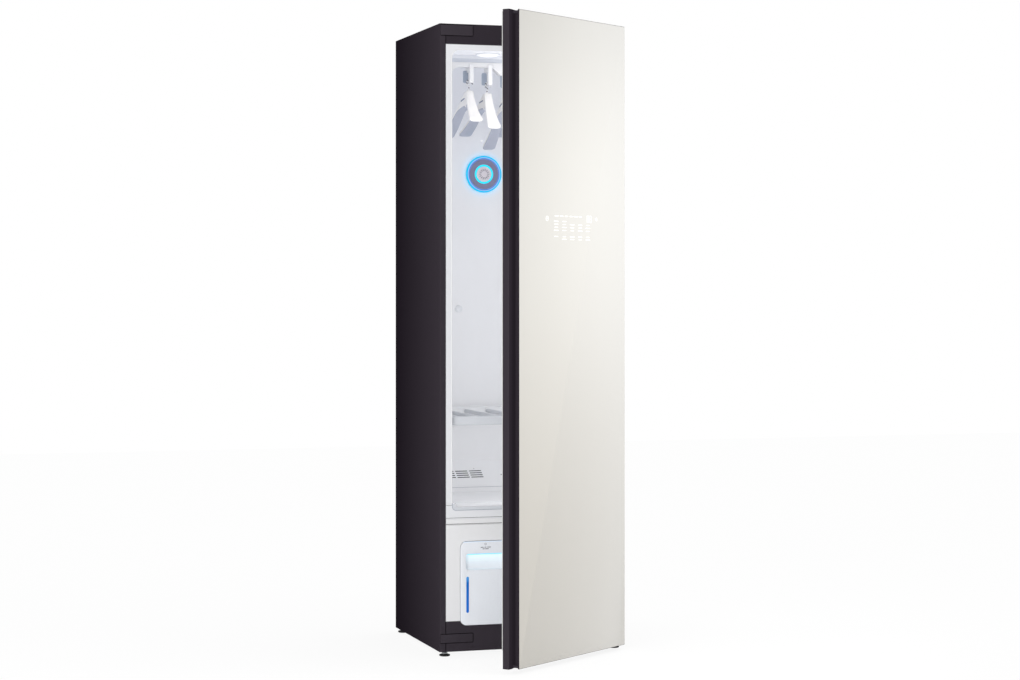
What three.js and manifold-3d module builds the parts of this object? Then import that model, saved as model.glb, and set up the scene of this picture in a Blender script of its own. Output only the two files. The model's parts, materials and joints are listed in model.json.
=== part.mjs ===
// Clothes care steam cabinet: a tall steam wardrobe with a glass door on a pocket handle frame.
// Millimetres, +Z up. The door is on the -Y side, hinged at +X, and stands open as it is shown.
import * as THREE from "three";
import { mergeVertices } from "three/addons/utils/BufferGeometryUtils.js";
import Module from "manifold-3d";

const wasm = await Module();
wasm.setup();

// Clearances and shared sizes
const FIT = 0.3; // gap between pieces that lie against each other
const RUN = 1.5; // gap round a piece that slides or turns
const OVERRUN = 6; // how far a cut passes the faces that it goes through
const ARC_STEPS = 4; // facets of a quarter round
const ROUND_SIDES = 20; // facets of a full round
const SMALL_SIDES = 10; // facets of a small round

// Cabinet body, stacked from the floor up
const FOOT = { lift: 15, padHeight: 7, padRadius: 17, stemRadius: 5, stemTop: 24, insetX: 21, insetY: 20 };
const PLINTH = { height: 94, sheet: 1.5 };
const LOWER_PANEL = { height: 298, thickness: 3 };
const TRIM = { height: 18, thickness: 2, recess: 1 };
const FLOOR_UNIT = { lip: 37, rise: 50, thickness: 6, sideLip: 9 };
const CAVITY = { sideWall: 40, rearGap: 15, height: 1418, wall: 2.5, ceilingRise: 12, cornerRadius: 24, flangeTop: 18 };
const TOP_RAIL = { height: 63, sheet: 1.5, depth: 20 };
const BODY = { width: 600, depth: 545, sheet: 1.2, frontReturn: 19, rearReturn: 15, panRim: 25 };
const HINGE_CAP = { width: 104, upper: 32, lower: 26, thickness: 1.7, sideInset: 2, topInset: 4, bottomRise: 28 };

const floorOfBody = FOOT.lift;
const plinthTop = floorOfBody + PLINTH.height;
const lowerPanelTop = plinthTop + LOWER_PANEL.height;
const trimTop = lowerPanelTop + TRIM.height;
const cavityFloor = trimTop + FLOOR_UNIT.lip;
const floorUnitTop = trimTop + FLOOR_UNIT.rise;
const cavityTop = cavityFloor + CAVITY.height;
const ceiling = cavityTop + CAVITY.ceilingRise;
const flangeTop = cavityTop + CAVITY.flangeTop;
const bodyTop = flangeTop + TOP_RAIL.height;
const halfBody = BODY.width / 2;
const halfCavity = halfBody - CAVITY.sideWall;
const cavityDepth = BODY.depth - CAVITY.rearGap;
const insideSheet = halfBody - BODY.sheet - FIT;
const halfFront = halfBody - BODY.frontReturn - FIT;
const backPanelFront = BODY.depth - 2 * BODY.sheet - FIT;
const panFront = 2 * BODY.sheet;

// Door: glass front, frame with a pocket handle down its free edge, back cover, gasket
const DOOR = { openAngle: 37, glass: 4.5, thickness: 45, gasketGap: 6, overTop: 6, edge: 22 };
const DOOR_FRAME = { topDrop: 5, wall: 3, gripDepth: 17.5, gripInset: 20, railRadius: 3, coverThickness: 2.7 };
const HINGE = { fromEdge: 36, fromCabinet: 40, opens: 110, plate: 3.4, gap: 0.6, pinRadius: 4, pinLength: 16, arm: 5.5 };
const HINGE_SEAT = { length: 90, width: 52, sideInset: 7, bottomPlate: 4, bushGap: 0.3 };
const GASKET = { width: 10, inset: 31, bottomRise: 55, topDrop: 47, squeeze: 0.6 };
const DISPLAY = { fromHinge: 148, width: 294, fromTop: 600, height: 90, depth: 10, corner: 8 };
const PRESS = { width: 300, rise: 785, height: 640, board: 14, flap: 12, pin: 3, pinLength: 8, lug: 10, corner: 18 };

const pivotX = halfBody - HINGE.fromEdge;
const pivotY = -HINGE.fromCabinet;
const doorFront = -DOOR.thickness - DOOR.gasketGap;
const doorBack = -DOOR.gasketGap;
const doorBottom = floorOfBody;
const doorTop = bodyTop + DOOR.overTop;
const frameTop = doorTop - DOOR_FRAME.topDrop;
const glassBack = doorFront + DOOR.glass;
const coverFront = doorBack - DOOR_FRAME.coverThickness;
const glassLeft = -halfBody + DOOR.edge;
const coreLeft = glassLeft + DOOR_FRAME.gripInset;
const gripBack = glassBack + DOOR_FRAME.gripDepth;
const swingRadius = HINGE.fromCabinet - RUN;

// Hanger rail that shakes sideways, its guide, drive and five hangers
const GUIDE = { sideGap: 45, y: 265, width: 24, wall: 2, slot: 11, height: 22.7 };
const RAIL = { sideGap: 70, depth: 30, height: 15, endDrop: 12, endLength: 14, hub: 24, hubHalf: 26, hubRun: 27 };
const TONGUE = { neck: 8, head: 15, height: 5, endInset: 25 };
const YOKE = { throwRadius: 10, travel: 10, thickness: 8, wall: 6, behind: 45 };
const HOLDER = { endInset: 64, width: 13, post: 12, reach: 48, drop: 51, step: 6, lip: 5, lipHeight: 8, top: 16 };
const HOOK = { wire: 2, arch: 9, rise: 6.2, neckDrop: 23, tip: 7, leg: 6, aside: 6, sides: 6, archSteps: 8 };
const HOOK_BEND = { pull: 4, lift: -1, lower: 16, steps: 6 };
const HANGER = { half: 200, drop: 115, neckBelow: 28, neckWidth: 25, tipWidth: 43, neckTall: 58, tipTall: 11, bend: 30 };
const HANGER_EDGE = { round: 9, nick: 4.5, nickShare: 0.22 };
const HANGER_SET = { yaws: [-2.6, -2.6, -5, -2.6, -2.6], tilts: [4, 0, 12, 0, 0] };
// Where the sections of a hanger's arm stand, as shares of its half length, and how far the neck takes up
const HANGER_SHARES = [0.06, 0.12, 0.19, 0.27, 0.35, 0.46, 0.58, 0.72, 0.86, 0.955, 0.985, 1];
const NECK_SHARE = 0.42;
const HANGER_COUNT = 5;
const CRANK = { shaft: 4, disc: 16, thickness: 5, drop: 9, pin: 3, grip: 18 };
const MOTOR = { radius: 21, height: 34, flange: 64, plate: 3 };

// Ceiling lamp, lit steam outlet on the back wall, air grille
const LAMP = { radius: 35, bulge: 7, skirt: 4, x: 85, y: 200, steps: 5 };
const OUTLET = { below: 369, radius: 61.5, ring: 50.3, annulus: 32.3, hub: 25.6, plate: 3, proud: 9, slots: 12 };
const OUTLET_SLOT = { inner: 9, outer: 21, width: 2.6 };
const OUTLET_STUB = { radius: 7, reach: 11, play: 1 };
const GRILLE = { sideGap: 20, right: 6, top: 86, nose: 37, knee: 24, slotWidth: 40, slotHeight: 3.6, rows: 4, columns: 5 };
const GRILLE_PATTERN = { rowPitch: 7.7, columnPitch: 46.5, rowShift: 1.5, skin: 4, firstRow: 21 };

// Garment shelf
const SHELF = { rise: 253, sideGap: 2, front: 14, back: 484, frontHeight: 28, backHeight: 31, rail: 14, side: 10 };
const SHELF_BAR = { radius: 6, sideInset: 36, count: 7, axis: 17 };
const SHELF_LEDGE = { width: 9, height: 12, front: 60, back: 470, endRadius: 5 };

// Water tanks in the lower front and the sleeve that takes them
const TANK = { sideMargin: 66, middleMargin: 70, sink: 14, fromTop: 52, corner: 20, front: 12, proud: 2 };
const TANK_BODY = { wall: 3, depth: 176, inset: 5, overlap: 2 };
const TANK_GRIP = { sideMargin: 18, height: 50, fromTop: 39, depth: 9, radius: 8 };
const SLEEVE = { wall: 2, depth: 196, webHeight: 24, webDepth: 60, webRise: 120, ribWidth: 6 };
const PANEL_GAP = 1.2;

// Machine space behind and under the cavity
const COMPRESSOR = { radius: 62, height: 168, fromLeft: 135, y: 400, foot: 78, footHeight: 12, dome: 22 };
const EXCHANGER = { width: 200, depth: 62, height: 190, fromRight: 150, y: 450, grooves: 9, groove: 5, grooveDepth: 9 };
const FAN = { radius: 66, width: 34, fromRight: 205, y: 315, below: 156, wall: 3, inlet: 40, duct: 62 };
const FAN_WHEEL = { gap: 5, disc: 2.4, blades: 12, blade: 2.2, reach: 16, hub: 12, shaft: 4, play: 3 };
const FAN_MOTOR = { radius: 26, length: 24, bore: 14 };
const BOILER = { radius: 48, height: 150, x: 0, y: 262, flange: 56, flangeHeight: 6, spout: 7, spoutHeight: 14 };
const HOSE = { radius: 3.5, sides: 8, bend: 30, bendSteps: 5, rise: 20 };
const CONTROL = { width: 220, depth: 150, height: 36, fromLeft: 180, y: 130, corner: 8 };
const LINT = { width: 190, depth: 96, fromRight: 190, y: 120, sink: 26, rim: 6, plate: 4, wall: 2.4, bar: 8, corner: 8 };

const tankTop = lowerPanelTop - TANK.fromTop;
const tankBottom = plinthTop - TANK.sink;
const tankWidth = halfBody - TANK.sideMargin - TANK.middleMargin;
const tankCentre = TANK.middleMargin + tankWidth / 2;
const panFloor = floorOfBody + BODY.sheet + FIT;
const guideTop = ceiling - FIT;
const guideBottom = guideTop - GUIDE.height;
const railTop = guideBottom - FIT;
const railBottom = railTop - RAIL.height;
const linerBack = cavityDepth + CAVITY.wall;
const linerRoof = ceiling + CAVITY.wall;
const crankY = GUIDE.y + YOKE.behind;
const halfRail = halfCavity - RAIL.sideGap;
const holderPitch = (2 * (halfRail - HOLDER.endInset)) / (HANGER_COUNT - 1);
const outletZ = ceiling - OUTLET.below;
const lintX = halfBody - LINT.fromRight;
const shelfBottom = cavityFloor + SHELF.rise;

function finish(color, roughness, metalness = 0) {
  return new THREE.MeshStandardMaterial({ color, roughness, metalness });
}

const charcoal = finish(0x3a353a, 0.45, 0.3);
const gripSteel = finish(0x423d42, 0.4, 0.4);
const glass = finish(0xe6e3dc, 0.12);
const whiteMoulding = finish(0xdfe2e6, 0.4);
const flangeWhite = finish(0xe3e4e6, 0.4);
const tankWhite = finish(0xe9edf2, 0.3);
const steel = finish(0xb6bcc4, 0.3, 0.9);
const chrome = finish(0xd0d4d8, 0.1, 1);
const rodGrey = finish(0x9a9ea2, 0.45, 0.4);
const rubber = finish(0x1c1b1c, 0.8);
const softWhite = finish(0xe8e8e6, 0.7);
const litCyan = finish(0x2fd8ff, 0.3);
const litWhite = finish(0xffffff, 0.3);
const outletGrey = finish(0x7d82a0, 0.4);
const machineGrey = finish(0x5c6066, 0.5, 0.4);
const boardGreen = finish(0x2d5f45, 0.6);

// Shapes
function block(x0, x1, y0, y1, z0, z1) {
  const box = new THREE.BoxGeometry(x1 - x0, y1 - y0, z1 - z0);
  return box.translate((x0 + x1) / 2, (y0 + y1) / 2, (z0 + z1) / 2);
}

function outline(points) {
  return new THREE.Shape(points.map(([u, v]) => new THREE.Vector2(u, v)));
}

function rounded(u0, u1, v0, v1, radius) {
  const shape = new THREE.Shape();
  shape.absarc(u1 - radius, v0 + radius, radius, -Math.PI / 2, 0);
  shape.absarc(u1 - radius, v1 - radius, radius, 0, Math.PI / 2);
  shape.absarc(u0 + radius, v1 - radius, radius, Math.PI / 2, Math.PI);
  shape.absarc(u0 + radius, v0 + radius, radius, Math.PI, (3 * Math.PI) / 2);
  return shape;
}

function extrude(shape, length) {
  return new THREE.ExtrudeGeometry(shape, { depth: length, bevelEnabled: false, curveSegments: ARC_STEPS });
}

// An outline in X and Y, raised from z0 to z1
function alongZ(shape, z0, z1) {
  return extrude(shape, z1 - z0).translate(0, 0, z0);
}

// An outline in X and Z, run from y0 to y1
function alongY(shape, y0, y1) {
  return extrude(shape, y1 - y0).rotateX(Math.PI / 2).translate(0, y1, 0);
}

// An outline in Y and Z, run from x0 to x1
function alongX(shape, x0, x1) {
  const turn = new THREE.Matrix4().makeBasis(
    new THREE.Vector3(0, 1, 0),
    new THREE.Vector3(0, 0, 1),
    new THREE.Vector3(1, 0, 0),
  );
  return extrude(shape, x1 - x0).applyMatrix4(turn).translate(x0, 0, 0);
}

function cylinderZ(x, y, z0, z1, radius, sides = ROUND_SIDES) {
  return new THREE.CylinderGeometry(radius, radius, z1 - z0, sides)
    .rotateX(Math.PI / 2)
    .translate(x, y, (z0 + z1) / 2);
}

function cylinderY(x, z, y0, y1, radius, sides = ROUND_SIDES) {
  return new THREE.CylinderGeometry(radius, radius, y1 - y0, sides).translate(x, (y0 + y1) / 2, z);
}

// A closed surface with its faces turned outwards
function outward(geometry) {
  const p = geometry.getAttribute("position");
  const index = Array.from(geometry.index.array);
  const [a, b, c] = [new THREE.Vector3(), new THREE.Vector3(), new THREE.Vector3()];
  let volume = 0;
  for (let i = 0; i < index.length; i += 3) {
    a.fromBufferAttribute(p, index[i]);
    b.fromBufferAttribute(p, index[i + 1]);
    c.fromBufferAttribute(p, index[i + 2]);
    volume += a.dot(b.cross(c));
  }
  if (volume < 0) {
    for (let i = 0; i < index.length; i += 3) [index[i], index[i + 1]] = [index[i + 1], index[i]];
  }
  geometry.setIndex(index);
  geometry.computeVertexNormals();
  return geometry;
}

// A profile of radius and height, turned about an upright axis
function turned(profile, sides = ROUND_SIDES) {
  const points = profile.map(([r, h]) => new THREE.Vector2(r, h));
  const lathe = new THREE.LatheGeometry(points, sides);
  lathe.deleteAttribute("normal");
  lathe.deleteAttribute("uv");
  return outward(mergeVertices(lathe)).rotateX(Math.PI / 2);
}

// A skin over rings of equal point counts, closed by its first and last ring
function loft(rings) {
  const count = rings[0].length;
  const positions = rings.flat().flatMap((point) => [point.x, point.y, point.z]);
  const index = [];
  for (let i = 0; i + 1 < rings.length; i++) {
    for (let k = 0; k < count; k++) {
      const [p, q] = [i * count + k, i * count + ((k + 1) % count)];
      index.push(p, q, q + count, p, q + count, p + count);
    }
  }
  const last = (rings.length - 1) * count;
  for (let k = 1; k + 1 < count; k++) {
    index.push(0, k + 1, k);
    index.push(last, last + k, last + k + 1);
  }
  const geometry = new THREE.BufferGeometry();
  geometry.setAttribute("position", new THREE.Float32BufferAttribute(positions, 3));
  geometry.setIndex(index);
  return outward(geometry);
}

// A round bar along points that lie in one plane, whose normal is given
function bar(points, normal, radius, sides) {
  const rings = points.map((point, i) => {
    const before = points[Math.max(i - 1, 0)];
    const after = points[Math.min(i + 1, points.length - 1)];
    const along = after.clone().sub(before).normalize();
    const across = along.clone().cross(normal);
    return Array.from({ length: sides }, (_, k) => {
      const angle = ((k + 0.5) * 2 * Math.PI) / sides;
      return point
        .clone()
        .addScaledVector(normal, radius * Math.cos(angle))
        .addScaledVector(across, radius * Math.sin(angle));
    });
  });
  return loft(rings);
}

// Joins and cuts
function solid(geometry) {
  const bare = geometry.clone();
  bare.deleteAttribute("normal");
  bare.deleteAttribute("uv");
  const merged = mergeVertices(bare);
  return new wasm.Manifold(
    new wasm.Mesh({
      numProp: 3,
      vertProperties: new Float32Array(merged.getAttribute("position").array),
      triVerts: new Uint32Array(merged.index.array),
    }),
  );
}

function surface(manifold) {
  const mesh = manifold.getMesh();
  const geometry = new THREE.BufferGeometry();
  geometry.setAttribute("position", new THREE.BufferAttribute(mesh.vertProperties, mesh.numProp));
  geometry.setIndex(new THREE.BufferAttribute(mesh.triVerts, 1));
  geometry.computeVertexNormals();
  return geometry;
}

function join(...geometries) {
  return surface(geometries.map(solid).reduce((sum, next) => sum.add(next)));
}

function cut(geometry, ...tools) {
  return surface(tools.map(solid).reduce((rest, tool) => rest.subtract(tool), solid(geometry)));
}

function place(parent, name, geometry, material) {
  const mesh = new THREE.Mesh(geometry, material);
  mesh.name = name;
  parent.add(mesh);
  return mesh;
}

function groupAt(parent, x, y, z) {
  const group = new THREE.Group();
  group.position.set(x, y, z);
  parent.add(group);
  return group;
}

const assembly = new THREE.Group();

// The steel case
function sidePanel(side) {
  const inner = halfBody - BODY.sheet;
  const rear = BODY.depth - BODY.sheet;
  const section = [
    [halfBody, 0],
    [halfBody - BODY.frontReturn, 0],
    [halfBody - BODY.frontReturn, BODY.sheet],
    [inner, BODY.sheet],
    [inner, rear],
    [halfBody - BODY.rearReturn, rear],
    [halfBody - BODY.rearReturn, BODY.depth],
    [halfBody, BODY.depth],
  ];
  return alongZ(outline(section.map(([x, y]) => [side * x, y])), floorOfBody, bodyTop);
}

function feetPlaces() {
  const x = halfBody - FOOT.insetX;
  const [front, rear] = [FOOT.insetY, BODY.depth - FOOT.insetY];
  return { front_left: [-x, front], front_right: [x, front], rear_left: [-x, rear], rear_right: [x, rear] };
}

function basePan() {
  const rimTop = floorOfBody + BODY.panRim;
  const back = backPanelFront - FIT;
  const tray = block(-insideSheet, insideSheet, panFront, back, floorOfBody, rimTop);
  const inside = block(
    -insideSheet + BODY.sheet,
    insideSheet - BODY.sheet,
    panFront + BODY.sheet,
    back - BODY.sheet,
    floorOfBody + BODY.sheet,
    rimTop + OVERRUN,
  );
  const holes = Object.values(feetPlaces()).map(([x, y]) =>
    cylinderZ(x, y, floorOfBody - OVERRUN, floorOfBody + OVERRUN, FOOT.stemRadius + FIT, SMALL_SIDES),
  );
  return cut(tray, inside, ...holes);
}

function topFrontRail() {
  const [z0, z1] = [flangeTop, bodyTop - BODY.sheet - FIT];
  const t = TOP_RAIL.sheet;
  const section = [
    [0, z0],
    [TOP_RAIL.depth, z0],
    [TOP_RAIL.depth, z0 + t],
    [t, z0 + t],
    [t, z1 - t],
    [TOP_RAIL.depth, z1 - t],
    [TOP_RAIL.depth, z1],
    [0, z1],
  ];
  return alongX(outline(section), -halfFront, halfFront);
}

// The two openings that the tank fronts stand in
function tankMouths(y0, y1) {
  return [-1, 1].map((side) => {
    const half = tankWidth / 2 + PANEL_GAP;
    const x = side * tankCentre;
    const mouth = rounded(x - half, x + half, tankBottom - PANEL_GAP, tankTop + PANEL_GAP, TANK.corner + PANEL_GAP);
    return alongY(mouth, y0, y1);
  });
}

function hingeCap(z0, height) {
  const x0 = -halfBody + HINGE_CAP.sideInset;
  const face = rounded(x0, x0 + HINGE_CAP.width, z0, z0 + height, HINGE_CAP.sideInset);
  return alongY(face, -HINGE_CAP.thickness, 0);
}

function buildCase() {
  const mouths = tankMouths(-OVERRUN, OVERRUN);
  place(assembly, "left_side_panel", sidePanel(-1), charcoal);
  place(assembly, "right_side_panel", sidePanel(1), charcoal);
  const lid = block(-insideSheet, insideSheet, BODY.sheet + FIT, backPanelFront - FIT, bodyTop - BODY.sheet, bodyTop);
  place(assembly, "top_panel", lid, charcoal);
  const back = block(
    -insideSheet,
    insideSheet,
    backPanelFront,
    backPanelFront + BODY.sheet,
    floorOfBody,
    bodyTop,
  );
  place(assembly, "back_panel", back, steel);
  place(assembly, "base_pan", basePan(), steel);
  place(assembly, "top_front_rail", topFrontRail(), charcoal);
  const kick = block(-halfFront, halfFront, 0, PLINTH.sheet, floorOfBody, plinthTop - FIT);
  place(assembly, "plinth", cut(kick, ...mouths), charcoal);
  const panel = block(-halfFront, halfFront, 0, LOWER_PANEL.thickness, plinthTop, lowerPanelTop - FIT);
  place(assembly, "lower_front_panel", cut(panel, ...mouths), flangeWhite);
  const strip = block(
    -halfFront,
    halfFront,
    TRIM.recess,
    TRIM.recess + TRIM.thickness,
    lowerPanelTop,
    trimTop - FIT,
  );
  place(assembly, "trim_strip", strip, flangeWhite);
  const upperCap = hingeCap(bodyTop - HINGE_CAP.topInset - HINGE_CAP.upper, HINGE_CAP.upper);
  place(assembly, "upper_hinge_cap", upperCap, charcoal);
  place(assembly, "lower_hinge_cap", hingeCap(floorOfBody + HINGE_CAP.bottomRise, HINGE_CAP.lower), charcoal);
}

// Levelling feet, each a body that turns on its thread
function buildFeet() {
  const rim = FOOT.padHeight / 2;
  const profile = [
    [0, 0],
    [FOOT.padRadius - rim / 2, 0],
    [FOOT.padRadius, rim / 2],
    [FOOT.padRadius, rim],
    [FOOT.stemRadius + rim, FOOT.padHeight],
    [FOOT.stemRadius, FOOT.padHeight],
    [FOOT.stemRadius, FOOT.stemTop],
    [0, FOOT.stemTop],
  ];
  for (const [corner, [x, y]] of Object.entries(feetPlaces())) {
    place(groupAt(assembly, x, y, 0), `foot_${corner}`, turned(profile, SMALL_SIDES), rubber);
  }
}

// The moulded cavity and its floor
function lintWell(z0, z1, play) {
  const half = [LINT.width / 2 - LINT.rim + play, LINT.depth / 2 - LINT.rim + play];
  const hole = rounded(lintX - half[0], lintX + half[0], LINT.y - half[1], LINT.y + half[1], LINT.corner);
  return alongZ(hole, z0, z1);
}

function cavityFloorUnit() {
  const outer = halfCavity + CAVITY.wall;
  const top = floorUnitTop - FIT;
  const halfLip = halfCavity - FLOOR_UNIT.sideLip;
  const tub = block(-outer, outer, 0, linerBack, cavityFloor - FLOOR_UNIT.thickness, top);
  const front = block(-halfFront, halfFront, 0, CAVITY.wall, trimTop, top);
  const hollow = alongY(
    rounded(-halfLip, halfLip, cavityFloor, cavityFloor + CAVITY.height, CAVITY.cornerRadius / 2),
    -OVERRUN,
    cavityDepth,
  );
  return cut(join(tub, front), hollow, lintWell(cavityFloor - CAVITY.wall * OVERRUN, cavityFloor + OVERRUN, FIT));
}

function shelfLedge(side) {
  const z = shelfBottom - FIT;
  const [r, reach] = [SHELF_LEDGE.endRadius, halfCavity + CAVITY.wall / 2];
  const face = rounded(SHELF_LEDGE.front, SHELF_LEDGE.back, z - SHELF_LEDGE.height, z, r);
  const ledge = alongX(face, halfCavity - SHELF_LEDGE.width, reach);
  return side > 0 ? ledge : ledge.translate(-reach - halfCavity + SHELF_LEDGE.width, 0, 0);
}

function innerLiner() {
  const outer = halfCavity + CAVITY.wall;
  const shell = block(-outer, outer, 0, linerBack, floorUnitTop, linerRoof);
  const flange = block(-halfFront, halfFront, 0, CAVITY.wall, floorUnitTop, flangeTop - FIT);
  const low = floorUnitTop - CAVITY.height;
  const mouth = rounded(-halfCavity, halfCavity, low, cavityTop, CAVITY.cornerRadius);
  const inside = rounded(-halfCavity, halfCavity, low, ceiling, CAVITY.cornerRadius);
  const shaftHole = cylinderZ(0, crankY, ceiling - OVERRUN, linerRoof + OVERRUN, CRANK.shaft + RUN, SMALL_SIDES);
  const stubHole = cylinderY(
    0,
    outletZ,
    cavityDepth - OVERRUN,
    linerBack + OVERRUN,
    OUTLET_STUB.radius + OUTLET_STUB.play,
    SMALL_SIDES,
  );
  const hollow = cut(
    join(shell, flange),
    alongY(mouth, -OVERRUN, CAVITY.wall + FIT),
    alongY(inside, CAVITY.wall, cavityDepth),
    shaftHole,
    stubHole,
  );
  return join(hollow, shelfLedge(1), shelfLedge(-1));
}

function lintFilter() {
  const z0 = cavityFloor + FIT;
  const z1 = z0 + LINT.plate;
  const [hw, hd] = [LINT.width / 2, LINT.depth / 2];
  const rim = alongZ(rounded(lintX - hw, lintX + hw, LINT.y - hd, LINT.y + hd, LINT.corner), z0, z1);
  const basket = lintWell(cavityFloor - LINT.sink, z1, -RUN);
  const inside = lintWell(cavityFloor - LINT.sink + LINT.wall, z1 + OVERRUN, -RUN - LINT.wall);
  const grip = block(
    lintX - LINT.bar / 2,
    lintX + LINT.bar / 2,
    LINT.y - hd + LINT.rim,
    LINT.y + hd - LINT.rim,
    z1 - LINT.plate,
    z1,
  );
  return join(cut(join(rim, basket), inside), grip);
}

function buildCavity() {
  place(assembly, "cavity_floor", cavityFloorUnit(), whiteMoulding);
  place(assembly, "inner_liner", innerLiner(), whiteMoulding);
  place(assembly, "lint_filter", lintFilter(), whiteMoulding);
}

// The dome lamps in the ceiling, one each side
function buildLamps() {
  const bulge = Array.from({ length: LAMP.steps + 1 }, (_, k) => {
    const angle = (k / LAMP.steps) * (Math.PI / 2);
    return [LAMP.radius * Math.sin(angle), -LAMP.skirt - LAMP.bulge * Math.cos(angle)];
  });
  const profile = [...bulge, [LAMP.radius, -FIT], [0, -FIT]];
  for (const [name, side] of [["left", -1], ["right", 1]]) {
    const spot = groupAt(assembly, side * LAMP.x, LAMP.y, ceiling);
    place(spot, `${name}_ceiling_lamp`, turned(profile), litWhite);
  }
}

// The lit steam outlet on the back wall: a dish with a raised ring, two light rings and a slotted hub
function radialSlots(y0, y1) {
  return Array.from({ length: OUTLET.slots }, (_, k) => {
    const slot = block(
      OUTLET_SLOT.inner,
      OUTLET_SLOT.outer,
      y0,
      y1,
      -OUTLET_SLOT.width / 2,
      OUTLET_SLOT.width / 2,
    );
    return slot.rotateY((k * 2 * Math.PI) / OUTLET.slots);
  });
}

// A ring about an axis that runs to the back, from y0 to y1
function ringY(inner, outer, y0, y1) {
  const band = cylinderY(0, 0, y0, y1, outer);
  return inner > 0 ? cut(band, cylinderY(0, 0, y0 - OVERRUN, y1 + OVERRUN, inner)) : band;
}

function buildOutlet() {
  const centre = groupAt(assembly, 0, cavityDepth, outletZ);
  const plateFront = -FIT - OUTLET.plate;
  const seat = plateFront - FIT;
  const dish = join(
    ringY(0, OUTLET.radius, plateFront, -FIT),
    ringY(OUTLET.annulus, OUTLET.ring - FIT, -OUTLET.proud, -FIT),
    cylinderY(0, 0, -OUTLET.plate, OUTLET_STUB.reach, OUTLET_STUB.radius),
  );
  place(centre, "steam_outlet_dish", dish, outletGrey);
  place(centre, "outer_light_ring", ringY(OUTLET.ring, OUTLET.radius - FIT, -OUTLET.proud + FIT, seat), litCyan);
  const glow = ringY(OUTLET.hub + FIT, OUTLET.annulus - FIT, -OUTLET.proud + FIT, seat);
  place(centre, "inner_light_ring", glow, litCyan);
  const hub = ringY(0, OUTLET.hub, -OUTLET.proud - FIT, seat);
  place(centre, "steam_outlet_hub", cut(hub, ...radialSlots(-OUTLET.proud - OVERRUN, seat + OVERRUN)), softWhite);
}

// The sloping air grille at the foot of the back wall
function airGrille() {
  const [x0, x1] = [GRILLE.sideGap - halfCavity, GRILLE.right];
  const back = cavityDepth - FIT;
  const nose = back - GRILLE.nose;
  const [z0, knee, z1] = [cavityFloor + FIT, cavityFloor + GRILLE.knee, cavityFloor + GRILLE.top];
  const skin = GRILLE_PATTERN.skin;
  const wedge = alongX(outline([[back, z0], [back, z1], [nose, knee], [nose, z0]]), x0, x1);
  const inside = alongX(
    outline([
      [back + OVERRUN, z0 + skin],
      [back + OVERRUN, z1 - skin],
      [back - skin, z1 - 2 * skin],
      [nose + skin, knee - skin / 2],
      [nose + skin, z0 + skin],
    ]),
    x0 + skin,
    x1 - skin,
  );
  const slope = new THREE.Vector2(GRILLE.nose, z1 - knee);
  const tilt = Math.atan2(GRILLE.nose, z1 - knee);
  slope.normalize();
  const slots = [];
  for (let row = 0; row < GRILLE.rows; row++) {
    const down = GRILLE_PATTERN.firstRow + row * GRILLE_PATTERN.rowPitch;
    for (let column = 0; column < GRILLE.columns; column++) {
      const right = x1 - GRILLE.right - column * GRILLE_PATTERN.columnPitch + row * GRILLE_PATTERN.rowShift;
      const slot = new THREE.BoxGeometry(GRILLE.slotWidth, 4 * skin, GRILLE.slotHeight).rotateX(-tilt);
      slots.push(slot.translate(right - GRILLE.slotWidth / 2, back - slope.x * down, z1 - slope.y * down));
    }
  }
  return cut(wedge, inside, ...slots);
}

// The hanger rail's guide under the ceiling, a channel open at the bottom
function railGuide() {
  const [y0, y1] = [GUIDE.y - GUIDE.width / 2, GUIDE.y + GUIDE.width / 2];
  const [s0, s1] = [GUIDE.y - GUIDE.slot / 2, GUIDE.y + GUIDE.slot / 2];
  const t = GUIDE.wall;
  const section = [
    [y0, guideBottom],
    [s0, guideBottom],
    [s0, guideBottom + t],
    [y0 + t, guideBottom + t],
    [y0 + t, guideTop - t],
    [y1 - t, guideTop - t],
    [y1 - t, guideBottom + t],
    [s1, guideBottom + t],
    [s1, guideBottom],
    [y1, guideBottom],
    [y1, guideTop],
    [y0, guideTop],
  ];
  return alongX(outline(section), GUIDE.sideGap - halfCavity, halfCavity - GUIDE.sideGap);
}

function holderLipTop(step) {
  return railBottom - HOLDER.drop - HOLDER.step * step + HOLDER.lipHeight;
}

// How many steps lower than the outermost holder the holder at index i hangs
function holderStep(i) {
  const middle = (HANGER_COUNT - 1) / 2;
  return middle - Math.abs(i - middle);
}

function holderX(i) {
  return (i - (HANGER_COUNT - 1) / 2) * holderPitch;
}

// A hook holder: two posts, and a thin lip between them that the hook turns over
function hookHolder(x, step) {
  const lipTop = holderLipTop(step);
  const bottom = lipTop - HOLDER.lipHeight;
  const [hw, hr] = [HOLDER.width / 2, HOLDER.reach / 2];
  const top = railBottom + RAIL.height / 2;
  const posts = [-1, 1].map((side) => {
    const y = GUIDE.y + side * (hr - HOLDER.post / 2);
    return block(x - hw, x + hw, y - HOLDER.post / 2, y + HOLDER.post / 2, bottom, top);
  });
  const crown = block(x - hw, x + hw, GUIDE.y - hr, GUIDE.y + hr, railBottom - HOLDER.top, top);
  const lip = block(
    x - HOLDER.lip / 2,
    x + HOLDER.lip / 2,
    GUIDE.y - hr + HOLDER.post / 2,
    GUIDE.y + hr - HOLDER.post / 2,
    bottom,
    lipTop,
  );
  return join(...posts, crown, lip);
}

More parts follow.
